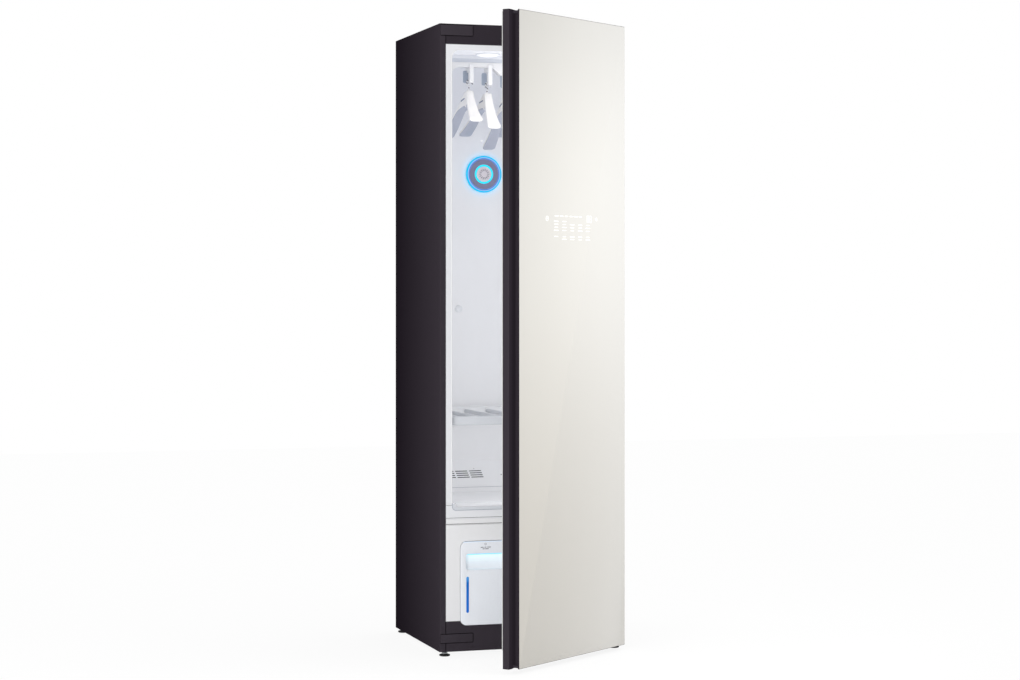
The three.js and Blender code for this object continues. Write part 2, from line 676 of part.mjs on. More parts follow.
// The window in the rail's yoke is wide enough for the crank pin anywhere on its circle,
// wherever the rail stands, because the two are not coupled
function railYoke() {
  const halfWindow = YOKE.throwRadius + YOKE.travel + CRANK.pin + RUN;
  const halfDepth = YOKE.throwRadius + CRANK.pin + RUN;
  const [hw, hd] = [halfWindow + YOKE.wall, halfDepth + YOKE.wall];
  const z0 = railTop - RAIL.height;
  const z1 = z0 + YOKE.thickness;
  const plate = block(-hw, hw, GUIDE.y + RAIL.depth / 4, crankY + hd, z0, z1);
  const window = block(-halfWindow, halfWindow, crankY - halfDepth, crankY + halfDepth, z0 - OVERRUN, z1 + OVERRUN);
  return cut(plate, window);
}

function hangerRail() {
  const endDrop = railBottom - RAIL.endDrop;
  const side = [
    [RAIL.hubHalf, railBottom - RAIL.hub],
    [RAIL.hubHalf + RAIL.hubRun, railBottom],
    [halfRail - 2 * RAIL.endLength, railBottom],
    [halfRail - RAIL.endLength, railBottom - RAIL.endDrop / 3],
    [halfRail - RAIL.endLength / 3, endDrop],
    [halfRail, endDrop],
    [halfRail, railTop],
  ];
  const mirror = side.map(([x, z]) => [-x, z]).reverse();
  const beam = alongY(outline([...side, ...mirror]), GUIDE.y - RAIL.depth / 2, GUIDE.y + RAIL.depth / 2);
  const headBottom = guideBottom + GUIDE.wall + FIT;
  const halfTongue = halfRail - TONGUE.endInset;
  const neck = block(
    -halfTongue,
    halfTongue,
    GUIDE.y - TONGUE.neck / 2,
    GUIDE.y + TONGUE.neck / 2,
    railTop - RAIL.height / 2,
    headBottom + TONGUE.height / 2,
  );
  const head = block(
    -halfTongue,
    halfTongue,
    GUIDE.y - TONGUE.head / 2,
    GUIDE.y + TONGUE.head / 2,
    headBottom,
    headBottom + TONGUE.height,
  );
  const holders = Array.from({ length: HANGER_COUNT }, (_, i) => hookHolder(holderX(i), holderStep(i)));
  return join(beam, neck, head, railYoke(), ...holders);
}

// A twisted hook: over the holder's lip, and in an S down to the hanger's neck, about the arch's centre
function hangerHook() {
  const points = [new THREE.Vector3(HOOK.arch, 0, -HOOK.tip)];
  for (let k = 0; k <= HOOK.archSteps; k++) {
    const angle = (k / HOOK.archSteps) * Math.PI;
    points.push(new THREE.Vector3(HOOK.arch * Math.cos(angle), 0, HOOK.arch * Math.sin(angle)));
  }
  const from = new THREE.Vector3(-HOOK.arch, 0, -HOOK.leg);
  const to = new THREE.Vector3(-HOOK.aside, 0, -HOOK.neckDrop);
  const pull = new THREE.Vector3(HOOK_BEND.pull, 0, -2 * HOOK.leg);
  const lift = new THREE.Vector3(HOOK_BEND.lift, 0, -HOOK_BEND.lower);
  const bend = new THREE.CubicBezierCurve3(from, pull, lift, to);
  points.push(...bend.getPoints(HOOK_BEND.steps));
  points.push(new THREE.Vector3(-HOOK.aside, 0, -HANGER.neckBelow + FIT));
  return bar(points, new THREE.Vector3(0, 1, 0), HOOK.wire, HOOK.sides);
}

// How far the arm's top lies under the neck's: level over the neck, then a slope that eases towards the tip
function armFall(share) {
  const run = Math.max(0, share - HANGER_SHARES[0]) / (1 - HANGER_SHARES[0]);
  return HANGER.drop * (1.4 * run - 0.4 * run * run);
}

// Half the width of the arm, which widens to the tip and is rounded off there
function armHalfWidth(share) {
  const half = (HANGER.neckWidth + (HANGER.tipWidth - HANGER.neckWidth) * share ** 1.3) / 2;
  const short = Math.max(0, HANGER_EDGE.round - (1 - share) * HANGER.half);
  return half - HANGER_EDGE.round + Math.sqrt(HANGER_EDGE.round ** 2 - short ** 2);
}

// A hanger: two arms that fall and widen from a tall neck, and bend to one side as seen from above
function hangerArms() {
  const stations = [...HANGER_SHARES.map((share) => -share).reverse(), 0, ...HANGER_SHARES];
  const rings = stations.map((along) => {
    const share = Math.abs(along);
    const top = -HANGER.neckBelow - armFall(share);
    const neck = Math.max(0, 1 - share / NECK_SHARE) ** 1.5;
    const tall = HANGER.tipTall + (HANGER.neckTall - HANGER.tipTall) * neck;
    const half = armHalfWidth(share);
    const nick = Math.min(tall * HANGER_EDGE.nickShare, HANGER_EDGE.nick);
    const shift = HANGER.bend * share ** 0.8;
    return [
      [half - nick, top],
      [half, top - nick],
      [half, top - tall + nick],
      [half - nick, top - tall],
      [nick - half, top - tall],
      [-half, top - tall + nick],
      [-half, top - nick],
      [nick - half, top],
    ].map(([x, z]) => new THREE.Vector3(x - shift, along * HANGER.half, z));
  });
  return loft(rings);
}

// The hangers hang a little turned, and two of them tilted on their hooks, as they do in use
function buildHangers() {
  place(assembly, "rail_guide", railGuide(), steel);
  place(assembly, "hanger_rail", hangerRail(), whiteMoulding);
  for (let i = 0; i < HANGER_COUNT; i++) {
    const spot = groupAt(assembly, holderX(i), GUIDE.y, holderLipTop(holderStep(i)) - HOOK.rise);
    spot.rotation.x = THREE.MathUtils.degToRad(-HANGER_SET.tilts[i]);
    place(spot, `hanger_hook_${i + 1}`, hangerHook(), chrome);
    const arms = place(spot, `hanger_${i + 1}`, hangerArms(), whiteMoulding);
    arms.rotation.z = THREE.MathUtils.degToRad(HANGER_SET.yaws[i]);
  }
}

// The drive above the ceiling: a geared motor, and a crank whose pin works in the rail's yoke
function buildDrive() {
  const discTop = ceiling - CRANK.drop;
  const discBottom = discTop - CRANK.thickness;
  const yokeBottom = railTop - RAIL.height;
  const plateBottom = linerRoof + FIT;
  const shaftTop = plateBottom + CRANK.grip;
  const crank = join(
    cylinderZ(0, 0, discBottom, discTop, CRANK.disc),
    cylinderZ(0, 0, discTop - FIT, shaftTop, CRANK.shaft, SMALL_SIDES),
    cylinderZ(YOKE.throwRadius, 0, yokeBottom, discBottom + FIT, CRANK.pin, SMALL_SIDES),
  );
  place(groupAt(assembly, 0, crankY, 0), "drive_crank", crank, steel);
  const half = MOTOR.flange / 2;
  const motor = join(
    block(-half, half, -half, half, plateBottom, plateBottom + MOTOR.plate),
    cylinderZ(0, 0, plateBottom, plateBottom + MOTOR.height, MOTOR.radius),
  );
  const bore = cylinderZ(0, 0, plateBottom - OVERRUN, shaftTop + RUN, CRANK.shaft + FIT, SMALL_SIDES);
  place(groupAt(assembly, 0, crankY, 0), "drive_motor", cut(motor, bore), machineGrey);
}

// The garment shelf: a front and a back rail, side rails, and round bars from front to back
function garmentShelf() {
  const half = halfCavity - SHELF.sideGap;
  const [y0, y1] = [SHELF.front, SHELF.back + SHELF.rail];
  const axis = shelfBottom + SHELF_BAR.axis;
  const front = block(-half, half, y0, y0 + SHELF.rail, shelfBottom, shelfBottom + SHELF.frontHeight);
  const back = block(-half, half, SHELF.back, y1, shelfBottom, shelfBottom + SHELF.backHeight);
  const sides = [-1, 1].map((side) => {
    const x = side * (half - SHELF.side / 2);
    return block(x - SHELF.side / 2, x + SHELF.side / 2, y0, y1, shelfBottom, shelfBottom + SHELF.frontHeight);
  });
  const pitch = (2 * (half - SHELF_BAR.sideInset)) / (SHELF_BAR.count - 1);
  const bars = Array.from({ length: SHELF_BAR.count }, (_, i) => {
    const x = (i - (SHELF_BAR.count - 1) / 2) * pitch;
    return cylinderY(x, axis, y0 + SHELF.rail / 2, SHELF.back + SHELF.rail / 2, SHELF_BAR.radius, SMALL_SIDES);
  });
  return join(front, back, ...sides, ...bars);
}

// A water tank: its front with a finger recess, and the vessel behind it, open at the filler on top
function waterTank() {
  const half = tankWidth / 2;
  const slabBack = TANK.front - TANK.proud;
  const slab = alongY(rounded(-half, half, tankBottom, tankTop, TANK.corner), -TANK.proud, slabBack);
  const gripTop = tankTop - TANK_GRIP.fromTop;
  const halfGrip = half - TANK_GRIP.sideMargin;
  const recess = alongY(
    rounded(-halfGrip, halfGrip, gripTop - TANK_GRIP.height, gripTop, TANK_GRIP.radius),
    -TANK.proud - OVERRUN,
    -TANK.proud + TANK_GRIP.depth,
  );
  const [hw, inset, wall] = [half - TANK_BODY.inset, TANK_BODY.inset, TANK_BODY.wall];
  const bodyBack = slabBack + TANK_BODY.depth;
  const bodyFront = slabBack - TANK_BODY.overlap;
  const vessel = block(-hw, hw, bodyFront, bodyBack, tankBottom + inset, tankTop - inset);
  const water = block(
    -hw + wall,
    hw - wall,
    slabBack + wall,
    bodyBack - wall,
    tankBottom + inset + wall,
    tankTop - inset + OVERRUN,
  );
  return cut(join(cut(slab, recess), vessel), water);
}

// The sleeves that the tanks slide into, one moulding
function tankSleeve() {
  const half = tankWidth / 2 + RUN;
  const y0 = LOWER_PANEL.thickness + FIT;
  const y1 = y0 + SLEEVE.depth;
  const reach = half + SLEEVE.wall;
  const outer = [-1, 1].map((side) => {
    const x = side * tankCentre;
    return block(x - reach, x + reach, y0, y1, tankBottom - RUN - SLEEVE.wall, tankTop + RUN + SLEEVE.wall);
  });
  const inner = [-1, 1].map((side) => {
    const x = side * tankCentre;
    return block(x - half, x + half, y0 - OVERRUN, y1 - SLEEVE.wall, tankBottom - RUN, tankTop + RUN);
  });
  const runners = [-1, 1].flatMap((side) =>
    [-1, 1].map((edge) => {
      const x = side * tankCentre + (edge * tankWidth) / 4;
      const [ribBottom, ribTop] = [tankBottom - RUN - SLEEVE.wall / 2, tankBottom + TANK_BODY.inset - FIT];
      return block(x - SLEEVE.ribWidth / 2, x + SLEEVE.ribWidth / 2, TANK.front + RUN, y1, ribBottom, ribTop);
    }),
  );
  const webEnd = tankCentre - half - SLEEVE.wall / 2;
  const webBottom = tankBottom + SLEEVE.webRise;
  const web = block(-webEnd, webEnd, y1 - SLEEVE.webDepth, y1, webBottom, webBottom + SLEEVE.webHeight);
  return join(cut(join(...outer, web), ...inner), ...runners);
}

function buildTanks() {
  place(assembly, "tank_sleeve", tankSleeve(), machineGrey);
  for (const [name, side] of [["left", -1], ["right", 1]]) {
    place(groupAt(assembly, side * tankCentre, 0, 0), `${name}_water_tank`, waterTank(), tankWhite);
  }
}

// Machines in the base
function compressor() {
  const [h, dome, foot] = [COMPRESSOR.height, COMPRESSOR.dome, COMPRESSOR.foot];
  const shell = turned([
    [0, 0],
    [COMPRESSOR.radius - dome / 2, 0],
    [COMPRESSOR.radius, COMPRESSOR.footHeight],
    [COMPRESSOR.radius, h - dome],
    [COMPRESSOR.radius - dome, h - dome / 4],
    [COMPRESSOR.radius / 3, h],
    [0, h],
  ]);
  return join(shell, block(-foot, foot, -foot, foot, 0, COMPRESSOR.footHeight / 2));
}

function heatExchanger() {
  const [hw, hd, h] = [EXCHANGER.width / 2, EXCHANGER.depth / 2, EXCHANGER.height];
  const pitch = EXCHANGER.width / (EXCHANGER.grooves + 1);
  const grooves = Array.from({ length: EXCHANGER.grooves }, (_, i) => {
    const x = -hw + (i + 1) * pitch;
    const [x0, x1] = [x - EXCHANGER.groove / 2, x + EXCHANGER.groove / 2];
    return block(x0, x1, -hd - OVERRUN, -hd + EXCHANGER.grooveDepth, -OVERRUN, h + OVERRUN);
  });
  return cut(block(-hw, hw, -hd, hd, 0, h), ...grooves);
}

function boiler() {
  const body = cylinderZ(0, 0, 0, BOILER.height, BOILER.radius);
  const flange = block(-BOILER.flange, BOILER.flange, -BOILER.flange, BOILER.flange, 0, BOILER.flangeHeight);
  const top = BOILER.height + BOILER.spoutHeight;
  return join(body, flange, cylinderZ(0, 0, BOILER.height / 2, top, BOILER.spout, SMALL_SIDES));
}

// From the boiler's spout up, back behind the cavity, and up to the outlet's stub
function steamHose() {
  const z0 = panFloor + BOILER.height + BOILER.spoutHeight + FIT;
  const turn = z0 + HOSE.rise + HOSE.bend;
  const y1 = (linerBack + backPanelFront) / 2;
  const z1 = outletZ - OUTLET_STUB.radius - FIT;
  const points = [new THREE.Vector3(BOILER.x, BOILER.y, z0)];
  for (let k = 0; k <= HOSE.bendSteps; k++) {
    const a = ((k / HOSE.bendSteps) * Math.PI) / 2;
    const [run, rise] = [HOSE.bend * (1 - Math.cos(a)), HOSE.bend * Math.sin(a)];
    points.push(new THREE.Vector3(BOILER.x, BOILER.y + run, turn - HOSE.bend + rise));
  }
  for (let k = 0; k <= HOSE.bendSteps; k++) {
    const a = ((k / HOSE.bendSteps) * Math.PI) / 2;
    const [run, rise] = [HOSE.bend * Math.sin(a), HOSE.bend * (1 - Math.cos(a))];
    points.push(new THREE.Vector3(BOILER.x, y1 - HOSE.bend + run, turn + rise));
  }
  points.push(new THREE.Vector3(BOILER.x, y1, z1));
  return bar(points, new THREE.Vector3(1, 0, 0), HOSE.radius, HOSE.sides);
}

// The fan: a drum with an inlet, a duct up to the cavity floor, a motor behind, and its wheel
function fanHousing() {
  const hw = FAN.width / 2;
  const outer = FAN.radius + FAN.wall;
  const ductTop = FAN.below - FLOOR_UNIT.thickness - FIT;
  const ductLeft = outer - FAN.duct;
  const body = join(
    cylinderY(0, 0, -hw, hw, outer),
    block(ductLeft, outer, -hw, hw, 0, ductTop),
    cylinderY(0, 0, hw - FAN.wall, hw + FAN_MOTOR.length, FAN_MOTOR.radius),
  );
  return cut(
    body,
    cylinderY(0, 0, -hw + FAN.wall, hw - FAN.wall, FAN.radius),
    block(ductLeft + FAN.wall, outer - FAN.wall, -hw + FAN.wall, hw - FAN.wall, 0, ductTop + OVERRUN),
    cylinderY(0, 0, -hw - OVERRUN, -hw + OVERRUN, FAN.inlet),
    cylinderY(0, 0, 0, hw + FAN_MOTOR.bore, FAN_WHEEL.shaft + FIT, SMALL_SIDES),
  );
}

function fanWheel() {
  const hw = FAN.width / 2 - FAN.wall - FAN_WHEEL.play;
  const radius = FAN.radius - FAN_WHEEL.gap;
  const blades = Array.from({ length: FAN_WHEEL.blades }, (_, k) =>
    block(radius - FAN_WHEEL.reach, radius, -hw, hw, -FAN_WHEEL.blade / 2, FAN_WHEEL.blade / 2).rotateY(
      (k * 2 * Math.PI) / FAN_WHEEL.blades,
    ),
  );
  return join(
    cylinderY(0, 0, hw - FAN_WHEEL.disc, hw, radius),
    cylinderY(0, 0, -hw + FAN_WHEEL.play, hw, FAN_WHEEL.hub, SMALL_SIDES),
    cylinderY(0, 0, 0, FAN.width / 2 + FAN_MOTOR.bore - RUN, FAN_WHEEL.shaft, SMALL_SIDES),
    ...blades,
  );
}

function buildMachines() {
  const pump = groupAt(assembly, COMPRESSOR.fromLeft - halfBody, COMPRESSOR.y, panFloor);
  place(pump, "compressor", compressor(), machineGrey);
  const coil = groupAt(assembly, halfBody - EXCHANGER.fromRight, EXCHANGER.y, panFloor);
  place(coil, "heat_exchanger", heatExchanger(), steel);
  place(groupAt(assembly, BOILER.x, BOILER.y, panFloor), "steam_generator", boiler(), steel);
  place(assembly, "steam_hose", steamHose(), rubber);
  const fan = groupAt(assembly, halfBody - FAN.fromRight, FAN.y, cavityFloor - FAN.below);
  place(fan, "fan_housing", fanHousing(), machineGrey);
  place(fan, "fan_wheel", fanWheel(), machineGrey);
  const [hw, hd] = [CONTROL.width / 2, CONTROL.depth / 2];
  const z0 = linerRoof + FIT;
  const x = CONTROL.fromLeft - halfBody;
  const plan = rounded(x - hw, x + hw, CONTROL.y - hd, CONTROL.y + hd, CONTROL.corner);
  place(assembly, "control_box", alongZ(plan, z0, z0 + CONTROL.height), machineGrey);
}

// The door, drawn shut in the cabinet's own places and then swung open about its pins
function doorSection(inset, overrun) {
  const radius = swingRadius - inset;
  const right = halfBody - inset;
  const left = coreLeft + inset;
  const back = coverFront - FIT;
  const from = Math.asin(Math.sqrt(radius ** 2 - (right - pivotX) ** 2) / radius);
  const to = Math.asin((back - pivotY) / radius);
  const arc = Array.from({ length: ARC_STEPS + 1 }, (_, k) => {
    const a = from + ((to - from) * k) / ARC_STEPS;
    return [pivotX + radius * Math.cos(a), pivotY + radius * Math.sin(a)];
  });
  const past = overrun > 0 ? [[pivotX + radius * Math.cos(to), back + overrun]] : [];
  const front = glassBack + FIT - overrun;
  return outline([[left, front], [right, front], ...arc, ...past, [left, back + overrun]]);
}

function doorFrame() {
  const shell = alongZ(doorSection(0, 0), doorBottom, frameTop);
  const { wall } = DOOR_FRAME;
  const hollow = alongZ(doorSection(wall, OVERRUN), doorBottom + wall, frameTop - wall);
  const bushes = [doorBottom, frameTop].map((z) =>
    cylinderZ(pivotX, pivotY, z - OVERRUN, z + OVERRUN, HINGE.pinRadius + HINGE_SEAT.bushGap, SMALL_SIDES),
  );
  return cut(shell, hollow, ...bushes);
}

function doorBackCover() {
  const reach = Math.sqrt(swingRadius ** 2 - (doorBack - pivotY) ** 2);
  return block(coreLeft, pivotX + reach - FIT, coverFront, doorBack, doorBottom, frameTop);
}

function doorGasket() {
  const half = halfBody - GASKET.inset;
  const [z0, z1] = [doorBottom + GASKET.bottomRise, doorTop - GASKET.topDrop];
  const w = GASKET.width;
  const ring = alongY(rounded(-half, half, z0, z1, w), doorBack + FIT, -GASKET.squeeze);
  const hollow = rounded(-half + w, half - w, z0 + w, z1 - w, w / 2);
  return cut(ring, alongY(hollow, doorBack - OVERRUN, OVERRUN));
}

// The trouser press on the door's inner side: a padded board with lugs, and a flap that swings on pins
function pressBoard() {
  const half = PRESS.width / 2;
  const [z0, z1] = [doorBottom + PRESS.rise, doorBottom + PRESS.rise + PRESS.height];
  const y1 = doorBack + PRESS.board;
  const axisY = y1 + FIT + PRESS.flap / 2;
  const board = alongY(rounded(-half, half, z0, z1, PRESS.corner), doorBack + FIT, y1);
  const lugs = [z0, z1 - PRESS.lug].map((z) =>
    block(half - PRESS.corner, half + PRESS.flap / 2, doorBack + FIT, y1 + PRESS.flap, z, z + PRESS.lug),
  );
  const pins = [
    [z0, z0 + PRESS.lug + PRESS.pinLength],
    [z1 - PRESS.lug - PRESS.pinLength, z1],
  ].map(([low, high]) => cylinderZ(half, axisY, low, high, PRESS.pin, SMALL_SIDES));
  return join(board, ...lugs, ...pins);
}

function pressFlap() {
  const half = PRESS.width / 2;
  const z0 = doorBottom + PRESS.rise + PRESS.lug + FIT;
  const z1 = doorBottom + PRESS.rise + PRESS.height - PRESS.lug - FIT;
  const y0 = doorBack + PRESS.board + FIT;
  const r = PRESS.flap / 2;
  const leaf = alongZ(rounded(-half, half + r, y0, y0 + PRESS.flap, r * (1 - FIT / r)), z0, z1);
  const sockets = [z0, z1].map((z) => {
    const deep = PRESS.pinLength + RUN;
    return cylinderZ(half, y0 + r, z - deep, z + deep, PRESS.pin + FIT, SMALL_SIDES);
  });
  return cut(leaf, ...sockets);
}

function buildDoor() {
  const swing = groupAt(assembly, pivotX, pivotY, 0);
  swing.rotation.z = THREE.MathUtils.degToRad(DOOR.openAngle);
  const door = groupAt(swing, -pivotX, -pivotY, 0);
  const corner = DOOR_FRAME.wall / 2;
  const pane = rounded(glassLeft, halfBody, doorBottom, doorTop, corner);
  place(door, "door_glass", alongY(pane, doorFront, glassBack), glass);
  place(door, "door_frame", doorFrame(), charcoal);
  const rail = rounded(-halfBody, coreLeft - FIT, gripBack, doorBack, DOOR_FRAME.railRadius);
  place(door, "door_handle_rail", alongZ(rail, doorBottom, doorTop), gripSteel);
  place(door, "door_back_cover", doorBackCover(), flangeWhite);
  place(door, "door_gasket", doorGasket(), softWhite);
  const right = halfBody - DISPLAY.fromHinge;
  const top = doorTop - DISPLAY.fromTop;
  const board = rounded(right - DISPLAY.width, right, top - DISPLAY.height, top, DISPLAY.corner);
  place(door, "display_module", alongY(board, glassBack + FIT, glassBack + FIT + DISPLAY.depth), boardGreen);
  place(door, "press_board", pressBoard(), softWhite);
  place(door, "press_flap", pressFlap(), whiteMoulding);
}

// Hinge plates on the body with the pins that the door turns on. The arm's edge runs along the glass of
// the wide open door
function hingePlate(z0, z1, seat0, seat1, pin0, pin1) {
  const x1 = halfBody - HINGE_SEAT.sideInset;
  const open = THREE.MathUtils.degToRad(HINGE.opens);
  const [edgeX, edgeY] = [pivotX + HINGE.arm * Math.sin(open), pivotY - HINGE.arm * Math.cos(open)];
  const plan = new THREE.Shape();
  plan.absarc(pivotX, pivotY, HINGE.arm, Math.PI, 1.5 * Math.PI + open);
  plan.lineTo(edgeX - edgeY / Math.tan(open), 0);
  plan.lineTo(x1, 0);
  plan.lineTo(x1, HINGE_SEAT.length);
  plan.lineTo(x1 - HINGE_SEAT.width, HINGE_SEAT.length);
  plan.lineTo(x1 - HINGE_SEAT.width, 0);
  const parts = [
    alongZ(plan, z0, z1),
    cylinderZ(pivotX, pivotY, pin0, pin1, HINGE.pinRadius, SMALL_SIDES),
  ];
  if (seat1 > seat0) parts.push(block(x1 - HINGE_SEAT.width, x1, HINGE.gap, HINGE_SEAT.length, seat0, seat1));
  return join(...parts);
}

function buildHinges() {
  const plate0 = frameTop + HINGE.gap;
  const plate1 = plate0 + HINGE.plate;
  const top = hingePlate(plate0, plate1, bodyTop + FIT, plate1, plate0 - HINGE.pinLength, plate0 + FIT);
  place(assembly, "top_hinge", top, charcoal);
  const low1 = doorBottom - HINGE.gap;
  const low0 = low1 - HINGE_SEAT.bottomPlate;
  const bottom = hingePlate(low0, low1, low0, low0, low1 - FIT, low1 + HINGE.pinLength);
  const foot = feetPlaces().front_right;
  const stem = cylinderZ(foot[0], foot[1], low0 - OVERRUN, low1 + OVERRUN, FOOT.stemRadius + RUN, SMALL_SIDES);
  place(assembly, "bottom_hinge", cut(bottom, stem), charcoal);
}

buildCase();
buildFeet();
buildCavity();
buildLamps();
buildOutlet();
place(assembly, "air_grille", airGrille(), whiteMoulding);
place(assembly, "garment_shelf", garmentShelf(), rodGrey);
buildHangers();
buildDrive();
buildTanks();
buildMachines();
buildDoor();
buildHinges();

// The origin is under the middle of the whole, with the door open as it stands
const whole = new THREE.Box3().setFromObject(assembly);
const cabinet = new THREE.Group();
assembly.position.set(-(whole.min.x + whole.max.x) / 2, -(whole.min.y + whole.max.y) / 2, -whole.min.z);
cabinet.add(assembly);

export default cabinet;
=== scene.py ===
"""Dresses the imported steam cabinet.

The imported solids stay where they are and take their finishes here. The pieces that show most, such as
the case skins, the hooks and hangers, the light rings, the tank fronts and the glass, are made again
in finer form on the same places. Everything is drawn in the cabinet's millimetres: X across, Y back
from the front edge of the case, Z up from the floor. The door's pieces are drawn with the door shut.
"""
import json
import logging
import math
from collections.abc import Callable, Sequence
from dataclasses import dataclass
from enum import Enum
from functools import cached_property

import bmesh
import bpy
from mathutils import Matrix, Vector


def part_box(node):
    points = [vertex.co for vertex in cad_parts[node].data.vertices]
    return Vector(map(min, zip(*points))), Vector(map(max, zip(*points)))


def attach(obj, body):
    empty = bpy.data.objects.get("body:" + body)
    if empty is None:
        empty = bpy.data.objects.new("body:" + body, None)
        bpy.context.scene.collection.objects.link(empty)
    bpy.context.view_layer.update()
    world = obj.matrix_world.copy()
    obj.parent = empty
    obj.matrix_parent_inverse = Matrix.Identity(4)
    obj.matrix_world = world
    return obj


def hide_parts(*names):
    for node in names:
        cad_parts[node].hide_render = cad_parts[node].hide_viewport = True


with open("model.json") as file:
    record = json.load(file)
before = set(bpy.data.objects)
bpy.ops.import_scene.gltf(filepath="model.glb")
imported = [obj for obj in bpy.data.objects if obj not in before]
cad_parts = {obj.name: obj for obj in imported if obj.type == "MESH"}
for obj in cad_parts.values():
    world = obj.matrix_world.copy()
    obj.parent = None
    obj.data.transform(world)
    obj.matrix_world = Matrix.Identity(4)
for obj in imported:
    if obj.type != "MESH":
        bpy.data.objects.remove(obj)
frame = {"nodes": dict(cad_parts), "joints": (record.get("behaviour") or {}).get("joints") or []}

LOG = logging.getLogger("steam_cabinet")
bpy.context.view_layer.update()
Colour = tuple[int, int, int]
Light = tuple[float, float, float, float]
Point2 = tuple[float, float]
Point3 = tuple[float, float, float]
Bands = tuple[tuple[float, Colour], ...]
NO_LIGHT: Light = (0.0, 0.0, 0.0, 1.0)
FULL_LIGHT: Light = (1.0, 1.0, 1.0, 1.0)


def cabinet_origin() -> Vector:
    """Finds the row's point that the cabinet is drawn from.

    Returns:
        The point under the middle of the case's front edge, in row metres.
    """
    left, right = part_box("left_side_panel"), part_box("right_side_panel")
    return Vector(((left[0].x + right[1].x) / 2, left[0].y, 0.0))


ORIGIN = cabinet_origin()


class Space(Enum):
    """Whose drawing a piece is measured in."""

    CABINET = "cabinet"
    DOOR = "shut door"

    def matrix(self) -> Matrix:
        """Gives the way from this drawing to the row.

        Returns:
            The matrix from millimetres of the drawing to metres of the row at rest.
        """
        base = Matrix.Translation(ORIGIN) @ Matrix.Scale(0.001, 4)
        if self is Space.CABINET:
            return base
        hinge = next(joint for joint in frame["joints"] if joint["name"] == "door_hinge")
        pin = Matrix.Translation(Vector(hinge["pos_m"]))
        swing = Matrix.Rotation(math.radians(-hinge["range_deg"][0]), 4, "Z")
        return pin @ swing @ pin.inverted() @ base


class Facing(Enum):
    """The plane that an outline lies in, and so the way that it is run out."""

    FRONT = "outline in X and Z, run along Y"
    SIDE = "outline in Y and Z, run along X"
    TOP = "outline in X and Y, run along Z"

    def point(self, u: float, v: float, w: float) -> Vector:
        """Places a point of an outline.

        Args:
            u: The outline's first measure.
            v: The outline's second measure.
            w: How far along the run the point is.

        Returns:
            The point in the drawing.
        """
        if self is Facing.FRONT:
            return Vector((u, w, v))
        if self is Facing.SIDE:
            return Vector((w, u, v))
        return Vector((u, v, w))


def arc(centre: Point2, radius: float, start: float, end: float, steps: int = 6) -> list[Vector]:
    """Draws part of a circle.

    Args:
        centre: The circle's centre.
        radius: Its radius.
        start: The first angle in degrees.
        end: The last angle in degrees.
        steps: How many chords it has.

    Returns:
        The points from start to end.
    """
    angles = [math.radians(start + (end - start) * k / steps) for k in range(steps + 1)]
    return [Vector((centre[0] + radius * math.cos(a), centre[1] + radius * math.sin(a))) for a in angles]


def rounded(u0: float, v0: float, u1: float, v1: float, radius: float, steps: int = 6) -> list[Vector]:
    """Draws a rectangle with round corners, anticlockwise.

    Args:
        u0: Its left edge.
        v0: Its lower edge.
        u1: Its right edge.
        v1: Its upper edge.
        radius: The corners' radius.
        steps: The chords of each corner.

    Returns:
        The outline's points.
    """
    r = radius
    corners = (((u1 - r, v0 + r), -90), ((u1 - r, v1 - r), 0), ((u0 + r, v1 - r), 90), ((u0 + r, v0 + r), 180))
    return [point for centre, turn in corners for point in arc(centre, r, turn, turn + 90, steps)]


def oval(across: float, tall: float, sides: int) -> list[Vector]:
    """Draws an oval about the middle, by its two half measures and its number of sides."""
    turns = (2 * math.pi * k / sides for k in range(sides))
    return [Vector((across * math.cos(turn), tall * math.sin(turn))) for turn in turns]


def circle(centre: Point2, radius: float, sides: int = 32) -> list[Vector]:
    """Draws a full circle, anticlockwise, with as many points as sides."""
    return arc(centre, radius, 0, 360, sides)[:-1]


def inset(outline: Sequence[Vector], amount: float) -> list[Vector]:
    """Moves every side of a closed anticlockwise outline inwards.

    Args:
        outline: The outline's points.
        amount: How far its sides move, or below 0 to move them outwards.

    Returns:
        The new outline, with as many points.
    """
    moved = []
    for k, point in enumerate(outline):
        first = (point - outline[k - 1]).normalized()
        second = (outline[(k + 1) % len(outline)] - point).normalized()
        normal = Vector((-first.y - second.y, first.x + second.x))
        moved.append(point + normal * (amount / max(1 + first.dot(second), 0.2)))
    return moved


